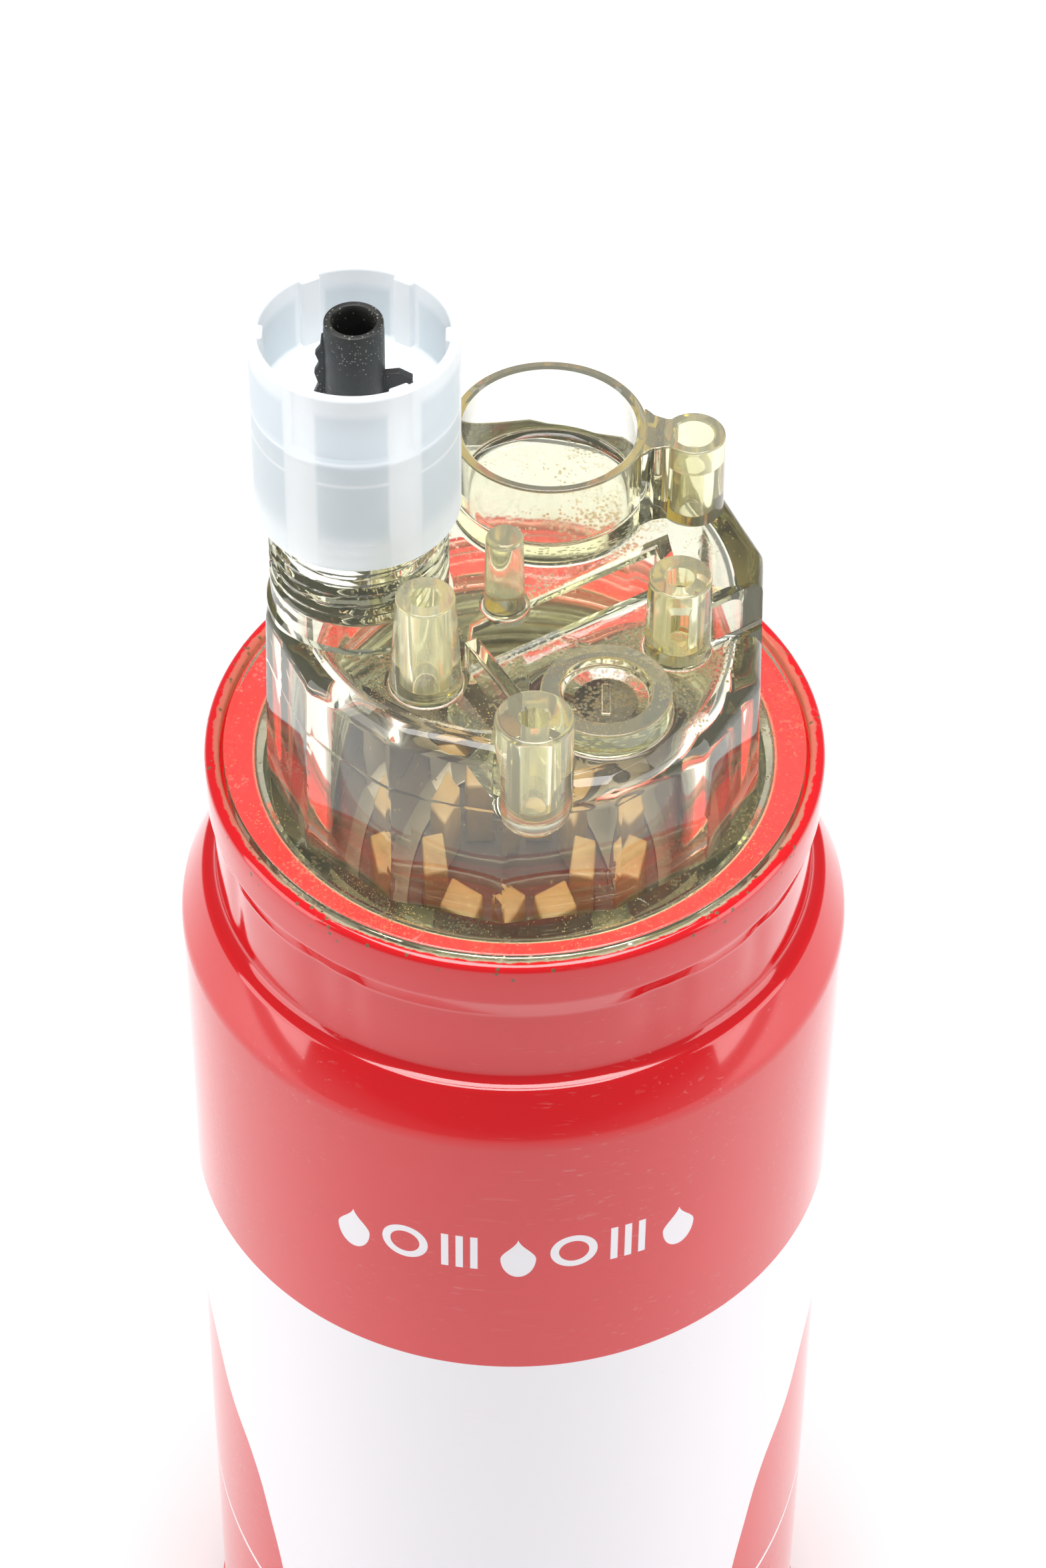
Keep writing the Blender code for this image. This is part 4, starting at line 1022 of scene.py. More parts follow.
def barrel(name, top, fillet):
    wall = [(BARREL_RADIUS, FLANGE_Z + (top - fillet - FLANGE_Z) * k / 8) for k in range(7, 0, -1)]
    return turned(name, [(0.0, top), (0.0300, top), (BARREL_RADIUS, top, fillet), *wall,
                         (BARREL_RADIUS, FLANGE_Z - 0.0010), (0.0, FLANGE_Z - 0.0010)],
                  facets=FLATS * 16, shape=flatted, steps=7, start=FLAT_TURN)


def low_floor_outline(grow=0.0):
    """Plan outline of the lower floor's reach, moved outwards by grow."""
    far = 0.0900
    start, end = Vector((-0.0064, -0.0111)), Vector((0.0215, 0.0069))
    side_start, slope = Vector((0.0245, -0.0091)), math.tan(math.radians(34.0))
    corners = [start, Vector((-0.0072, -0.0195)), Vector((0.0026, -0.0362)), Vector((0.0026, -far)),
               Vector((far, -far)), Vector((far, side_start.y + (far - side_start.x) * slope)),
               side_start, end]
    moved = []
    for i, here in enumerate(corners):
        before = (here - corners[i - 1]).normalized()
        after = (corners[(i + 1) % len(corners)] - here).normalized()
        outward = Vector((before.y, -before.x)) + Vector((after.y, -after.x))
        moved.append(here + outward * 2 * grow / outward.length_squared)
    return moved


def low_floor_block(name, base, top, flare=0.0, grow=0.0):
    """A block over the lower floor. Its foot is rounded and its walls flare where they meet the top."""
    if flare:
        levels = [(base, -flare), (LOWER_FLOOR, -flare), (LOWER_FLOOR + 0.30 * flare, -0.45 * flare),
                  (LOWER_FLOOR + flare, 0.0), (UPPER_FLOOR - flare, 0.0),
                  (UPPER_FLOOR - 0.35 * flare, 0.12 * flare), (UPPER_FLOOR - 0.08 * flare, 0.5 * flare),
                  (UPPER_FLOOR, flare), (UPPER_FLOOR + 0.0002, 1.6 * flare), (top, 1.6 * flare)]
    else:
        levels = [(base, grow), (top, grow)]
    rings = [[(p.x, p.y, z) for p in low_floor_outline(out)] for z, out in levels]
    count = len(rings[0])
    vertices = [v for ring_ in rings for v in ring_]
    faces = [tuple(reversed(range(count)))]
    for level in range(len(rings) - 1):
        a, b = level * count, (level + 1) * count
        faces += [(a + i, a + (i + 1) % count, b + (i + 1) % count, b + i) for i in range(count)]
    faces.append(tuple(range(len(vertices) - count, len(vertices))))
    return piece(name, vertices, faces, None)


def at(inside, degrees):
    """A plan point that lies inside the barrel's wall by that much."""
    return polar(BARREL_RADIUS - inside, degrees)


SPIGOT = at(0.0150, -172.2)
TALL_BOSS = at(0.0125, -120.1)
CUP = at(0.0203, 75.1)
EAR = at(0.0071, 31.8)
SHORT_BOSS = at(0.0136, -11.7)
COLUMN = at(0.0032, -85.2)
PORT_RING = at(0.0154, -54.3)
STUB = (-0.0018, -0.0062)
BOSS_HOLE = 0.0022
TALL_BOSS_TOP = 0.2942
SHORT_BOSS_TOP = 0.2820


def boss(name, place, radius, foot, base, top, lip=0.0004, fillet=0.0008, facets=64):
    """An upright boss with a drafted wall, an eased lip and a fillet where it meets the floor."""
    points = [(0.0, top), (radius, top, lip), (foot, base + fillet)]
    for k in range(1, 6):
        a = math.pi / 2 * k / 5
        points.append((foot + fillet * (1 - math.cos(a)), base + fillet * (1 - math.sin(a))))
    points += [(foot + fillet, base - 0.0012), (0.0, base - 0.0012)]
    return turned(name, points, place=place, facets=facets)


def drill(name, place, radius, base, top, lead=0.0003, facets=48):
    """A plain hole with an eased mouth at top."""
    return turned(name, [(0.0, top + 0.003), (radius + lead, top + 0.003), (radius + lead, top + 1e-5),
                         (radius, top - lead), (radius, base, 0.0003), (0.0, base)],
                  place=place, facets=facets)


body = turned("bowl_flange", [
    (0.0, FLANGE_Z - 0.0002),
    (BARREL_RADIUS - 0.0010, FLANGE_Z - 0.0002),
    (FLANGE_RADIUS, FLANGE_Z - 0.0002, 0.0007),
    (FLANGE_RADIUS, FLANGE_BASE, 0.0004),
    (SKIRT_RADIUS, FLANGE_BASE, 0.0003),
    *[(SKIRT_RADIUS - 0.0009 * (0.5 - 0.5 * math.cos(math.pi * k)), FLANGE_BASE - 0.0008 - 0.00075 * k)
      for k in range(9)],
    (SKIRT_RADIUS, SKIRT_BASE + 0.0042, 0.0002),
    (SKIRT_RADIUS - 0.0021, SKIRT_BASE + 0.0042, 0.0002),
    (SKIRT_RADIUS - 0.0021, SKIRT_BASE + 0.0020, 0.0002),
    (SKIRT_RADIUS, SKIRT_BASE + 0.0020, 0.0003),
    (SKIRT_RADIUS, SKIRT_BASE, 0.0007),
    (0.0, SKIRT_BASE),
], facets=FLATS * 16)
high_barrel = barrel("high_barrel", UPPER_FLOOR, 0.0028)
high_barrel = shaped(high_barrel, [("DIFFERENCE", low_floor_block("step_cut", 0.2500, 0.34, 0.0010))],
                     "high_barrel_stepped")
low_cavity = turned("low_cavity", [
    (0.0, LOWER_FLOOR - BOWL_WALL), (CAVITY_RADIUS - 0.0006, LOWER_FLOOR - BOWL_WALL, 0.0025),
    (CAVITY_RADIUS, FLANGE_Z), (CAVITY_RADIUS + 0.0003, 0.15), (0.0, 0.15)], facets=168)
high_cavity = turned("high_cavity", [
    (0.0, UPPER_FLOOR - BOWL_WALL), (CAVITY_RADIUS - 0.0008, UPPER_FLOOR - BOWL_WALL, 0.0025),
    (CAVITY_RADIUS - 0.0004, SEAT_Z), (0.0, SEAT_Z)], facets=168)
high_cavity = shaped(high_cavity, [("DIFFERENCE", low_floor_block("inner_step", 0.15, 0.34, 0.0,
                                                                  BOWL_WALL))], "high_cavity_cut")

CUP_RADIUS = 0.0154
CUP_INNER = 0.0137
CUP_TOP = UPPER_FLOOR + 0.0151
web_along = (Vector(EAR) - Vector(CUP)).normalized()
web_side = Vector((-web_along.y, web_along.x))


def web_point(along, aside):
    spot = Vector(CUP) + web_along * along + web_side * aside
    return spot.x, spot.y, UPPER_FLOOR - 0.0012


reach = (Vector(EAR) - Vector(CUP)).length
waist = [(0.0145, 0.0058), (0.0163, 0.0041), (0.0182, 0.0034), (0.0200, 0.0036), (reach, 0.0046)]
web_outline = [web_point(a, -w) for a, w in waist] + [web_point(a, w) for a, w in reversed(waist)]
web = swept("web", web_outline, (0.0, 0.0, CUP_TOP - UPPER_FLOOR + 0.0010), 0.0004)

PORT_TOP = LOWER_FLOOR + 0.0044
COLUMN_TOP = SHORT_BOSS_TOP
COLUMN_RADIUS = 0.0060
COLUMN_ROUND_Z = 0.2645
COLUMN_FOOT_Z = 0.2585
column_shape = turned("column", [
    (0.0, COLUMN_TOP), (COLUMN_RADIUS, COLUMN_TOP, 0.0008), (COLUMN_RADIUS, COLUMN_ROUND_Z),
    *[(COLUMN_RADIUS * math.cos(a), COLUMN_ROUND_Z - COLUMN_RADIUS * math.sin(a))
      for a in np.linspace(0.12, math.pi / 2 - 0.08, 12)],
    (0.0, COLUMN_FOOT_Z)], place=COLUMN, facets=64)
RIB_FOOT = LOWER_FLOOR - 0.001
RIB_HALF = 0.0012
rib_start, rib_end = Vector((-0.0068, -0.0190)), Vector(COLUMN)
rib_dir = (rib_end - rib_start).normalized()
rib_side = Vector((-rib_dir.y, rib_dir.x)) * RIB_HALF
rib = swept("rib", [(*spot, RIB_FOOT) for spot in (rib_start - rib_side, rib_end - rib_side,
                                                   rib_end + rib_side, rib_start + rib_side)],
            (0.0, 0.0, COLUMN_TOP - 0.0004 - RIB_FOOT), 0.0005)

SPIGOT_RADIUS = 0.0138
SPIGOT_TOP = 0.3130
SPIGOT_PITCH = 0.0021
THREAD_DEPTH = 0.0010
THREAD_START = UPPER_FLOOR + 0.0052


def spigot_thread(azimuth, radius, height):
    """A rounded right-hand thread, fading in above the plain band at the spigot's foot."""
    foot = np.clip((height - THREAD_START) / 0.0012, 0, 1)
    fade = foot * np.clip((SPIGOT_TOP - 0.0006 - height) / 0.001, 0, 1)
    wave = 2 * abs(helix(azimuth, height, SPIGOT_PITCH) - 0.5)
    cut_in = THREAD_DEPTH * np.clip(1.35 * wave - 0.12, 0, 1)
    outer = radius > SPIGOT_RADIUS - 1e-6
    return np.where(outer, radius - cut_in * fade, radius), height


thread_rings = int((SPIGOT_TOP - THREAD_START) / SPIGOT_PITCH * 12)
spigot = turned("spigot", [
    (0.0, SPIGOT_TOP), (SPIGOT_RADIUS, SPIGOT_TOP),
    *[(SPIGOT_RADIUS, SPIGOT_TOP - (SPIGOT_TOP - THREAD_START) * k / thread_rings)
      for k in range(1, thread_rings)],
    (SPIGOT_RADIUS, THREAD_START), (SPIGOT_RADIUS, UPPER_FLOOR + 0.0006),
    (SPIGOT_RADIUS + 0.0006, UPPER_FLOOR), (SPIGOT_RADIUS + 0.0006, UPPER_FLOOR - 0.0012),
    (0.0, UPPER_FLOOR - 0.0012)], place=SPIGOT, facets=120, shape=spigot_thread)
SEAT_BORE = 0.0099
SPIGOT_BORE = 0.0112
HEAD_TOP = 0.2860
spigot_bore = turned("spigot_bore", [
    (0.0, 0.34), (SPIGOT_BORE, 0.34), (SPIGOT_BORE, HEAD_TOP + 0.0013), (SEAT_BORE, HEAD_TOP),
    (SEAT_BORE, LOWER_FLOOR - BOWL_WALL), (0.0, LOWER_FLOOR - BOWL_WALL)], place=SPIGOT, facets=120)

SLOT_WIDTH = 0.0028
SLOT_REACH = 0.0090
slot = straight_block("boss_slot",
                      (SHORT_BOSS[0] - SLOT_WIDTH / 2, SHORT_BOSS[1], LOWER_FLOOR + 0.0030),
                      (SHORT_BOSS[0] + SLOT_WIDTH / 2, SHORT_BOSS[1] - SLOT_REACH,
                       SHORT_BOSS_TOP - 0.0036), 1, 0.0006)
EAR_MOUTH = 0.0031
EAR_PILOT = 0.0019
ear_well = turned("ear_hole", [
    (0.0, CUP_TOP + 0.003), (EAR_MOUTH + 0.0003, CUP_TOP + 0.003),
    (EAR_MOUTH + 0.0003, CUP_TOP + 1e-5), (EAR_MOUTH, CUP_TOP - 0.0003),
    (EAR_MOUTH, UPPER_FLOOR + 0.0096), (EAR_PILOT, UPPER_FLOOR + 0.0090),
    (EAR_PILOT, UPPER_FLOOR + 0.0002, 0.0003), (0.0, UPPER_FLOOR + 0.0002)], place=EAR, facets=56)
cup_hollow = turned("cup_hollow", [
    (0.0, CUP_TOP + 0.003), (CUP_INNER + 0.0004, CUP_TOP + 0.003), (CUP_INNER + 0.0004, CUP_TOP + 1e-5),
    (CUP_INNER, CUP_TOP - 0.0004), (CUP_INNER - 0.0003, UPPER_FLOOR + 0.0020, 0.0016),
    (0.0, UPPER_FLOOR + 0.0020)], place=CUP, facets=144)
DISH_RADIUS = 0.0070
port_dish = turned("port_dish", [
    (0.0, PORT_TOP + 0.003), (DISH_RADIUS + 0.0003, PORT_TOP + 0.003),
    (DISH_RADIUS + 0.0003, PORT_TOP + 1e-5), (DISH_RADIUS, PORT_TOP - 0.0003),
    (DISH_RADIUS - 0.0004, PORT_TOP - 0.0016, 0.0004), (0.0049, PORT_TOP - 0.0024, 0.0006),
    (0.0, PORT_TOP - 0.0024)], place=PORT_RING, facets=96)
GATE_WIDTH = 0.0013
GATE_LENGTH = 0.0066
gate_mark = straight_block(
    "gate_mark", (PORT_RING[0] - GATE_WIDTH / 2, PORT_RING[1] - GATE_LENGTH / 2, PORT_TOP - 0.0040),
    (PORT_RING[0] + GATE_WIDTH / 2, PORT_RING[1] + GATE_LENGTH / 2, PORT_TOP - 0.0018), soft=0.0002)

low_barrel = barrel("low_barrel", LOWER_FLOOR, 0.0040)
body = shaped(body, [
    ("UNION", low_barrel), ("UNION", high_barrel),
    ("DIFFERENCE", low_cavity), ("DIFFERENCE", high_cavity),
    ("UNION", boss("tall_boss", TALL_BOSS, 0.0045, 0.0055, UPPER_FLOOR, TALL_BOSS_TOP,
                   fillet=0.0009)),
    ("UNION", boss("stub", STUB, 0.0029, 0.0032, UPPER_FLOOR, UPPER_FLOOR + 0.0145, lip=0.0008)),
    ("UNION", boss("short_boss", SHORT_BOSS, 0.0049, 0.0052, LOWER_FLOOR, SHORT_BOSS_TOP)),
    ("UNION", web),
    ("UNION", boss("ear", EAR, 0.0049, 0.0051, UPPER_FLOOR - 0.0015, CUP_TOP)),
    ("UNION", boss("cup", CUP, CUP_RADIUS - 0.0001, CUP_RADIUS + 0.0001, UPPER_FLOOR, CUP_TOP,
                   facets=144)),
    ("UNION", boss("port_ring", PORT_RING, 0.0101, 0.0103, LOWER_FLOOR, PORT_TOP, facets=96)),
    ("UNION", column_shape), ("UNION", rib), ("UNION", spigot),
    ("DIFFERENCE", spigot_bore),
    ("DIFFERENCE", drill("tall_hole", TALL_BOSS, BOSS_HOLE, UPPER_FLOOR + 0.0004, TALL_BOSS_TOP)),
    ("DIFFERENCE", drill("short_hole", SHORT_BOSS, BOSS_HOLE, LOWER_FLOOR + 0.0010, SHORT_BOSS_TOP)),
    ("DIFFERENCE", drill("column_hole", COLUMN, BOSS_HOLE, COLUMN_ROUND_Z, COLUMN_TOP)),
    ("DIFFERENCE", ear_well), ("DIFFERENCE", cup_hollow), ("DIFFERENCE", port_dish),
    ("UNION", gate_mark), ("DIFFERENCE", slot),
], "water_bowl")


def coat(obj, *finishes):
    """Give a finished mesh these materials in place of its own."""
    obj.data.materials.clear()
    for finish in finishes:
        obj.data.materials.append(finish)


def levelled(obj, crease=30):
    """Weight normals by face area, so that flat floors stay flat beside their fillets."""
    obj.data.polygons.foreach_set("use_smooth", [True] * len(obj.data.polygons))
    obj.data.set_sharp_from_angle(angle=math.radians(crease))
    weighted = obj.modifiers.new("weighted", "WEIGHTED_NORMAL")
    weighted.keep_sharp = True
    return settled(obj, obj.name)


def let_lamps_through(tree, shader, tint):
    """Let shadow rays pass through a see-through plastic, so that lamps light what it holds."""
    out = tree.nodes["Material Output"]
    clear = node(tree, "ShaderNodeBsdfTransparent", {"Color": (*tint, 1.0)})
    ray = node(tree, "ShaderNodeLightPath")
    mixed = node(tree, "ShaderNodeMixShader", {0: ray.outputs["Is Shadow Ray"], 1: shader.outputs[0],
                                               2: clear.outputs[0]})
    tree.links.new(mixed.outputs[0], out.inputs["Surface"])
    return out


def straw_plastic(name, clearness, hue, roughness, density, dustiness):
    """Clear moulded plastic with a straw depth, soft flow waves, scuffs, and dust on level faces."""
    made, tree, shader = new_material(name, hue, roughness)
    shader.inputs["Transmission Weight"].default_value = clearness
    shader.inputs["IOR"].default_value = 1.5
    where = node(tree, "ShaderNodeTexCoord").outputs["Object"]
    facing = node(tree, "ShaderNodeNewGeometry").outputs["Normal"]
    up = node(tree, "ShaderNodeSeparateXYZ", {0: facing}).outputs[2]
    level = ramp(tree, up, 0.80, 0.97)
    dust = use(tree, settled_dust, Scale=1500.0, Size=0.34, Amount=1.0)
    drift = noise(tree, where, 70.0, 3.0)
    gathered = times(tree, level, ramp(tree, drift, 0.42, 0.60, 0.15, 1.0))
    specks = times(tree, dust.outputs[0], times(tree, gathered, dustiness))
    few = use(tree, settled_dust, Scale=420.0, Size=0.04, Amount=0.16)
    specks = either(tree, specks, few.outputs[0])
    film = times(tree, times(tree, ramp(tree, drift, 0.45, 0.75), level), 0.3)
    tinted = blend(tree, film, hue, (0.70, 0.64, 0.42))
    tree.links.new(blend(tree, specks, tinted, (0.66, 0.52, 0.22)), shader.inputs["Base Color"])
    surface = use(tree, mottled_surface, Scale=45.0, Roughness=roughness, Variation=0.03,
                  Grain_Scale=500.0)
    scuffs = use(tree, handling_scuffs, Scale=70.0, Amount=0.4)
    rough = plus(tree, surface.outputs["Roughness"],
                   times(tree, scuffs.outputs[0], 0.12))
    rough = plus(tree, rough, times(tree, specks, 0.5))
    tree.links.new(plus(tree, rough, times(tree, film, 0.15)),
                   shader.inputs["Roughness"])
    waves = noise(tree, where, 55.0, 1.0)
    relief = plus(tree, waves, times(tree, specks, 0.25))
    add_bump(tree, shader, relief, 0.2, 0.0003)
    out = let_lamps_through(tree, shader, hue)
    depth = node(tree, "ShaderNodeVolumeAbsorption", {"Color": (0.97, 0.955, 0.62, 1.0),
                                                      "Density": density})
    tree.links.new(depth.outputs[0], out.inputs["Volume"])
    return made


clear_plastic = straw_plastic("clear_plastic", 0.98, (0.98, 0.985, 0.95), 0.03, 40.0, 1.0)
cloudy_plastic = straw_plastic("cloudy_plastic", 0.84, (1.0, 0.99, 0.80), 0.07, 15.0, 0.1)
bowl = levelled(body)
coat(bowl, clear_plastic, cloudy_plastic)
# Raised moulding that looks milkier than the floors: place, reach and lowest height of each.
CLOUDY = ((TALL_BOSS, 0.0056, UPPER_FLOOR + 0.0006), (CUP, 0.0156, CUP_TOP - 0.0006),
          (EAR, 0.0062, UPPER_FLOOR + 0.0020), (COLUMN, 0.0064, LOWER_FLOOR + 0.0030),
          (SHORT_BOSS, 0.0056, LOWER_FLOOR + 0.0006), (STUB, 0.0036, UPPER_FLOOR + 0.0010),
          (PORT_RING, 0.0104, LOWER_FLOOR + 0.0038))
for face in bowl.data.polygons:
    x, y, z = face.center
    if any(z > foot and math.hypot(x - place[0], y - place[1]) < reach
           for place, reach, foot in CLOUDY):
        face.material_index = 1
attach(bowl, "bowl")
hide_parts("bowl")


# --------------------------------------------------------------- Settled grit
# Fine golden-brown grit that has settled in drifts on the bowl's level faces, mostly towards the
# front. Each grain is a tiny closed lump lying on the plastic.

GRIT_LOW = FLANGE_Z - 0.0005
GRIT_PER_SQUARE_METRE = 8.0e6
GRAIN_SIZE = 0.00007


def make_scattered_grains():
    """Grains scattered in noisy drifts over the level faces of a piece, thinning out to the back."""
    tree, given, result = geometry_tree("scattered grains", [
        ("Piece", "NodeSocketObject", None), ("Density", "NodeSocketFloat", 1.0e6),
        ("Grain Size", "NodeSocketFloat", 0.0001), ("Lowest", "NodeSocketFloat", 0.0),
        ("Finish", "NodeSocketMaterial", None)])
    source = node(tree, "GeometryNodeObjectInfo", {"Object": given.outputs["Piece"]})
    normal = node(tree, "GeometryNodeInputNormal").outputs["Normal"]
    up = node(tree, "ShaderNodeSeparateXYZ", {0: normal}).outputs[2]
    place = node(tree, "GeometryNodeInputPosition").outputs[0]
    axes = node(tree, "ShaderNodeSeparateXYZ", {0: place}).outputs
    level = sum_up(tree, "GREATER_THAN", up, 0.995)
    high = sum_up(tree, "GREATER_THAN", axes[2], given.outputs["Lowest"])
    drift = noise(tree, place, 95.0, 3.0)
    drift = ramp(tree, drift, 0.44, 0.66, kind="LINEAR")
    front = ramp(tree, axes[1], 0.012, -0.030, kind="LINEAR")
    share = plus(tree, times(tree, front, 0.9), 0.1)
    density = times(tree, times(tree, level, high), times(tree, times(tree, drift, drift), share))
    spots = node(tree, "GeometryNodeDistributePointsOnFaces", {
        "Mesh": source.outputs["Geometry"],
        "Density": times(tree, density, given.outputs["Density"])})
    grain = node(tree, "GeometryNodeMeshIcoSphere", {"Radius": given.outputs["Grain Size"],
                                                     "Subdivisions": 1})
    size = node(tree, "FunctionNodeRandomValue", {2: 0.5, 3: 1.5}, data_type="FLOAT")
    turn = node(tree, "FunctionNodeRandomValue", {0: (0.0, 0.0, 0.0), 1: (6.0, 6.0, 6.0)},
                data_type="FLOAT_VECTOR")
    grains = node(tree, "GeometryNodeInstanceOnPoints", {
        "Points": spots.outputs["Points"], "Instance": grain.outputs["Mesh"],
        "Rotation": turn.outputs[0], "Scale": size.outputs[1]})
    return finish_with(tree, given, result, grains.outputs[0])


golden_grit = potting_resin("golden_grit", (0.62, 0.45, 0.16), (0.30, 0.20, 0.08))
grit = grown("settled_grit", make_scattered_grains(), golden_grit, crease=5, Piece=bowl,
             Density=GRIT_PER_SQUARE_METRE, Grain_Size=GRAIN_SIZE, Lowest=GRIT_LOW)
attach(grit, "bowl")


# --------------------------------------------------------------- Bowl O-ring
# A round nitrile ring in the groove near the skirt's end. It seals against the collar's lower lip.

def round_ring(name, box_node, section, finish, place=(0.0, 0.0), facets=192):
    """A round seal that fills the box of its CAD node."""
    low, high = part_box(box_node)
    centre_radius = high.x - place[0] - section / 2
    middle = (low.z + high.z) / 2
    turns = np.linspace(0.0, -2 * math.pi, 20, endpoint=False)
    outline = [(centre_radius + section / 2 * math.cos(a), middle + section / 2 * math.sin(a))
               for a in turns]
    made = turned(name, outline, finish, place=place, facets=facets, crease=60)
    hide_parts(box_node)
    return made


bowl_ring = round_ring("bowl_seal_ring", "bowl_o_ring", 0.0019, black_rubber)
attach(bowl_ring, "bowl_seal")


# ---------------------------------------------------------------- Drain valve
# Black nylon in one moulding: a sealed head, a hollow stem with a port, a thin flange under the cap's
# web, and the hose nozzle, with a bevelled fin on one side and a snapped-off barb on the other.

VALVE_LOW, VALVE_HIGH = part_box("drain_valve")
NOZZLE_RADIUS = 0.0045
NOZZLE_BORE = 0.0031
VALVE_RADIUS = 0.0090
VALVE_FLANGE = VALVE_HIGH.x - SPIGOT[0]
FLANGE_LOW = SPIGOT_TOP + 0.0003
WEB_TOP = 0.3163
SEAL_GROOVE = 0.0074
SEAL_MIDDLE = VALVE_LOW.z + 0.0035


def dusty_nylon():
    """Black moulded nylon: satin, faintly grained, with pale handling marks and settled dust."""
    made, tree, shader = new_material("black_plastic", (0.022, 0.022, 0.021), 0.45)
    surface = use(tree, mottled_surface, Scale=160.0, Roughness=0.46, Variation=0.22,
                  Grain_Scale=2200.0)
    dust = use(tree, settled_dust, Scale=2600.0, Size=0.26, Amount=0.8)
    scuffs = use(tree, handling_scuffs, Scale=160.0, Amount=0.7)
    hue = blend(tree, times(tree, surface.outputs["Blotch"], 0.4), (0.020, 0.020, 0.019),
                (0.050, 0.049, 0.044))
    hue = blend(tree, times(tree, scuffs.outputs[0], 0.4), hue, (0.16, 0.16, 0.15))
    paint(tree, shader, blend(tree, dust.outputs[0], hue, (0.26, 0.25, 0.20)),
          surface.outputs["Roughness"])
    add_bump(tree, shader, surface.outputs["Grain"], 0.6, 0.00006)
    return made


black_plastic = dusty_nylon()
stem = turned("valve_stem", [
    (0.0, HEAD_TOP), (NOZZLE_BORE, HEAD_TOP, 0.0006),
    (NOZZLE_BORE, VALVE_HIGH.z - 0.0010), (NOZZLE_BORE + 0.0003, VALVE_HIGH.z, 0.0002),
    (NOZZLE_RADIUS - 0.0001, VALVE_HIGH.z, 0.0003), (NOZZLE_RADIUS, VALVE_HIGH.z - 0.0020),
    (NOZZLE_RADIUS, FLANGE_LOW + 0.0012, 0.0004),
    (VALVE_FLANGE, FLANGE_LOW + 0.0012, 0.0003), (VALVE_FLANGE, FLANGE_LOW, 0.0003),
    (NOZZLE_RADIUS, FLANGE_LOW, 0.0006), (NOZZLE_RADIUS, HEAD_TOP, 0.0008),
    (VALVE_RADIUS, HEAD_TOP, 0.0005), (VALVE_RADIUS, SEAL_MIDDLE + 0.0012, 0.0002),
    (SEAL_GROOVE, SEAL_MIDDLE + 0.0012), (SEAL_GROOVE, SEAL_MIDDLE - 0.0012),
    (VALVE_RADIUS, SEAL_MIDDLE - 0.0012, 0.0002), (VALVE_RADIUS, VALVE_LOW.z, 0.0009),
    (0.0, VALVE_LOW.z)], place=SPIGOT, facets=80)
PORT_WIDTH = 0.0026
PORT_REACH = 0.0080
port = straight_block("stem_port",
                      (SPIGOT[0] - PORT_WIDTH / 2, SPIGOT[1] - PORT_REACH, HEAD_TOP + 0.0003),
                      (SPIGOT[0] + PORT_WIDTH / 2, SPIGOT[1] + PORT_REACH, HEAD_TOP + 0.0029), 1)
LUG_BASE = WEB_TOP + 0.0003


def upright_plate(name, outline, thickness, soft):
    """A thin upright plate beside the nozzle, from its outline in reach and height."""
    corners = [(SPIGOT[0] + x, SPIGOT[1] - thickness / 2, z) for x, z in outline]
    return swept(name, corners, (0.0, thickness, 0.0), soft)


fin = upright_plate("fin", [
    (0.0036, LUG_BASE), (0.0088, LUG_BASE), (0.0090, LUG_BASE + 0.0006), (0.0084, LUG_BASE + 0.0026),
    (0.0086, LUG_BASE + 0.0034), (0.0066, LUG_BASE + 0.0046), (0.0036, LUG_BASE + 0.0042)],
    0.0014, 0.0002)
barb = upright_plate("barb", [
    (-0.0036, LUG_BASE), (-0.0036, LUG_BASE + 0.0115), (-0.0048, LUG_BASE + 0.0112),
    (-0.0050, LUG_BASE + 0.0092), (-0.0058, LUG_BASE + 0.0080), (-0.0052, LUG_BASE + 0.0062),
    (-0.0060, LUG_BASE + 0.0044), (-0.0054, LUG_BASE + 0.0022), (-0.0062, LUG_BASE)], 0.0012, 0.0002)
valve = levelled(shaped(stem, [("DIFFERENCE", port), ("UNION", fin), ("UNION", barb)],
                        "drain_valve_moulding"))
coat(valve, black_plastic)
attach(valve, "drain_valve")
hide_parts("drain_valve")

valve_ring = round_ring("valve_seal_ring", "drain_valve_seal", 0.0018, black_rubber, SPIGOT, 96)
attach(valve_ring, "drain_valve")


# ------------------------------------------------------------------ Drain cap
# Milky natural nylon. A threaded lower half, a web that carries the valve, and an open collar that
# is thick at six upright ribs and thin in the windows between them. Its colour is painted light and
# shade: painted whiter over the ribs and thick parts, a painted blue-grey shade in the thin windows.

CAP_LOW, CAP_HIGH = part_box("drain_cap")
CAP_RADIUS = 0.0157
CAP_UPPER_WALL = 0.0015
CAP_BORE = SPIGOT_RADIUS + 0.0003
CAP_RIBS = 6
RIB_TURN = 0.0
cap_inner = CAP_RADIUS - CAP_UPPER_WALL
cap_body = turned("cap_body", [
    (cap_inner, CAP_HIGH.z, 0.0005), (CAP_RADIUS, CAP_HIGH.z, 0.0006),
    (CAP_RADIUS, CAP_HIGH.z - 0.0100), (CAP_RADIUS, CAP_LOW.z + 0.0100),
    (CAP_RADIUS, CAP_LOW.z, 0.0012), (CAP_BORE, CAP_LOW.z, 0.0005),
    (CAP_BORE, WEB_TOP - 0.0015, 0.0004), (NOZZLE_RADIUS + 0.0006, WEB_TOP - 0.0015, 0.0002),
    (NOZZLE_RADIUS + 0.0006, WEB_TOP, 0.0002), (cap_inner, WEB_TOP, 0.0006)],
    place=SPIGOT, facets=160)
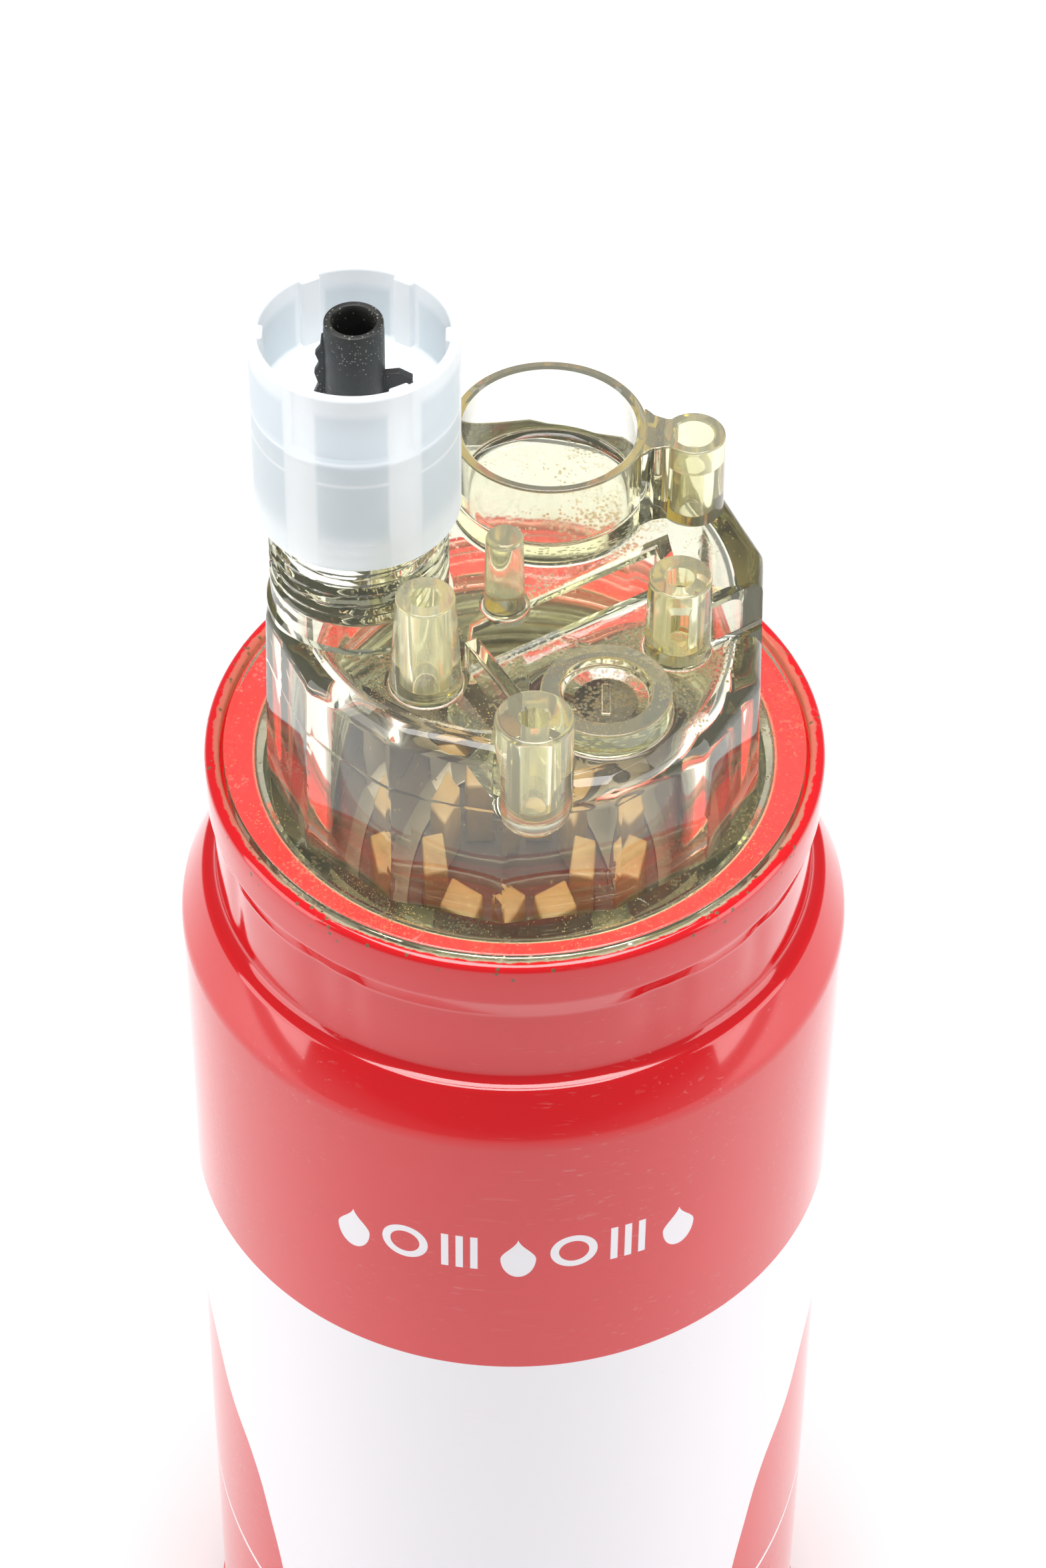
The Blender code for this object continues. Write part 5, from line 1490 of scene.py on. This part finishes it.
cap_rib = swept("cap_rib", [
    (cap_inner - 0.0008, -0.0015, WEB_TOP - 0.0007), (cap_inner + 0.0008, -0.0019, WEB_TOP - 0.0007),
    (cap_inner + 0.0008, 0.0019, WEB_TOP - 0.0007), (cap_inner - 0.0008, 0.0015, WEB_TOP - 0.0007)],
    (0.0, 0.0, CAP_HIGH.z - 0.0003 - WEB_TOP + 0.0007), 0.0003)
cap_ribs = grown("cap_ribs", ring_of_copies, bare_steel, Piece=cap_rib, Count=CAP_RIBS, Start=RIB_TURN,
                 Centre=(*SPIGOT, 0.0))
bpy.data.objects.remove(cap_rib, do_unlink=True)


def milky_nylon():
    """Milky plastic with painted light and shade: painted whiter over the ribs, the lower wall, two
    lines at the web's edges and the top, and a painted blue-grey shade in the thin windows.
    """
    made, tree, shader = new_material("milky_plastic", (0.86, 0.88, 0.89), 0.3)
    shader.inputs["Transmission Weight"].default_value = 0.42
    shader.inputs["IOR"].default_value = 1.4
    where = node(tree, "ShaderNodeTexCoord").outputs["Object"]
    here = node(tree, "ShaderNodeMapping", {"Vector": where, "Location": (-SPIGOT[0], -SPIGOT[1], 0.0)})
    axes = node(tree, "ShaderNodeSeparateXYZ", {0: here.outputs[0]}).outputs
    turn = sum_up(tree, "ARCTAN2", axes[1], axes[0])
    # Painted light: the wall is painted whiter over the six ribs, where it is thick.
    wave = sum_up(tree, "COSINE", times(tree, minus(tree, turn, RIB_TURN),
                                         float(CAP_RIBS)))
    rib_painted_light = ramp(tree, wave, 0.35, 0.62)
    height = axes[2]
    # Painted light: the thick lower wall is painted whiter.
    lower = ramp(tree, height, CAP_LOW.z + 0.0040, CAP_LOW.z + 0.0085, 1.0, 0.0)
    # Painted highlights: two bright lines painted along the web's edges.
    painted_edge_lines = either(tree, between(tree, height, WEB_TOP - 0.0004, WEB_TOP + 0.0002, 0.0002),
                        between(tree, height, WEB_TOP - 0.0046, WEB_TOP - 0.0040, 0.0002))
    # Painted light: the top of the collar is painted whiter.
    upper = ramp(tree, height, WEB_TOP + 0.0080, WEB_TOP + 0.0100)
    white = either(tree, rib_painted_light, times(tree, lower, 0.75), painted_edge_lines,
                   times(tree, upper, 0.9))
    surface = use(tree, mottled_surface, Scale=60.0, Roughness=0.42, Variation=0.12,
                  Grain_Scale=900.0)
    dust = use(tree, settled_dust, Scale=500.0, Size=0.03, Amount=0.10)
    # Painted light and shade: white where light comes through thick plastic, blue-grey shade in the
    # thin windows.
    hue = blend(tree, white, (0.74, 0.79, 0.82), (0.94, 0.95, 0.96))
    hue = blend(tree, times(tree, surface.outputs["Blotch"], 0.15), hue, (0.80, 0.83, 0.84))
    paint(tree, shader, blend(tree, dust.outputs[0], hue, (0.40, 0.34, 0.28)),
          surface.outputs["Roughness"])
    add_bump(tree, shader, surface.outputs["Grain"], 0.15, 0.00006)
    let_lamps_through(tree, shader, (0.62, 0.66, 0.68))
    return made


cap = levelled(shaped(cap_body, [("UNION", cap_ribs)], "drain_cap_moulding"))
coat(cap, milky_nylon())
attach(cap, "drain_cap")
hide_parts("drain_cap")


# ------------------------------------------------------- Floor, light and camera
# A plain pale floor under broad soft lamps: one overhead, one at each side, all out of the view.

floor_paint, _, floor_shader = new_material("floor_paint", (0.90, 0.90, 0.90), 0.9)
floor_shader.inputs["Specular IOR Level"].default_value = 0.1
FLOOR_HALF = 3.0
floor = piece("floor", [(x * FLOOR_HALF, y * FLOOR_HALF, 0.0)
                        for x, y in ((-1, -1), (1, -1), (1, 1), (-1, 1))], [(0, 1, 2, 3)], floor_paint)


def lamp(name, size, power, place, target=(0.0, 0.0, 0.15), tall=None):
    """A soft area lamp that faces a target."""
    light = bpy.data.lights.new(name, "AREA")
    light.shape = "RECTANGLE"
    light.size, light.size_y = size, tall or size
    light.energy = power
    obj = set_out(name, light)
    obj.location = place
    obj.rotation_euler = (Vector(target) - Vector(place)).to_track_quat("-Z", "Y").to_euler()


lamp("overhead", 1.5, 62.0, (0.0, 0.0, 2.4))
lamp("left side", 0.6, 5.0, (-1.0, -0.2, 0.45), tall=0.8)
lamp("right side", 0.6, 5.0, (1.0, -0.2, 0.45), tall=0.8)

world = bpy.data.worlds.new("studio")
bpy.context.scene.world = world
world.use_nodes = True
sky = world.node_tree.nodes["Background"].inputs
sky["Color"].default_value = (0.95, 0.97, 1.0, 1.0)
sky["Strength"].default_value = 0.28
bpy.context.scene.view_settings.view_transform = "Standard"

LENS = 106.67
CAMERA_PLACE = (0.001382, -0.523571, 0.770126)
CAMERA_DIP = math.radians(45.863)
CAMERA_ROLL = 0.0108
camera_data = bpy.data.cameras.new("camera")
camera_data.lens = LENS
camera_data.sensor_width = 36.0
camera_data.sensor_fit = "AUTO"
camera_data.clip_start = 0.01
camera = set_out("camera", camera_data)
camera.location = CAMERA_PLACE
flat_right, flat_up = Vector((1.0, 0.0, 0.0)), Vector((0.0, math.sin(CAMERA_DIP), math.cos(CAMERA_DIP)))
right = math.cos(CAMERA_ROLL) * flat_right + math.sin(CAMERA_ROLL) * flat_up
up = math.cos(CAMERA_ROLL) * flat_up - math.sin(CAMERA_ROLL) * flat_right
back = right.cross(up)
camera.rotation_euler = Matrix((right, up, back)).transposed().to_euler()
bpy.context.scene.camera = camera
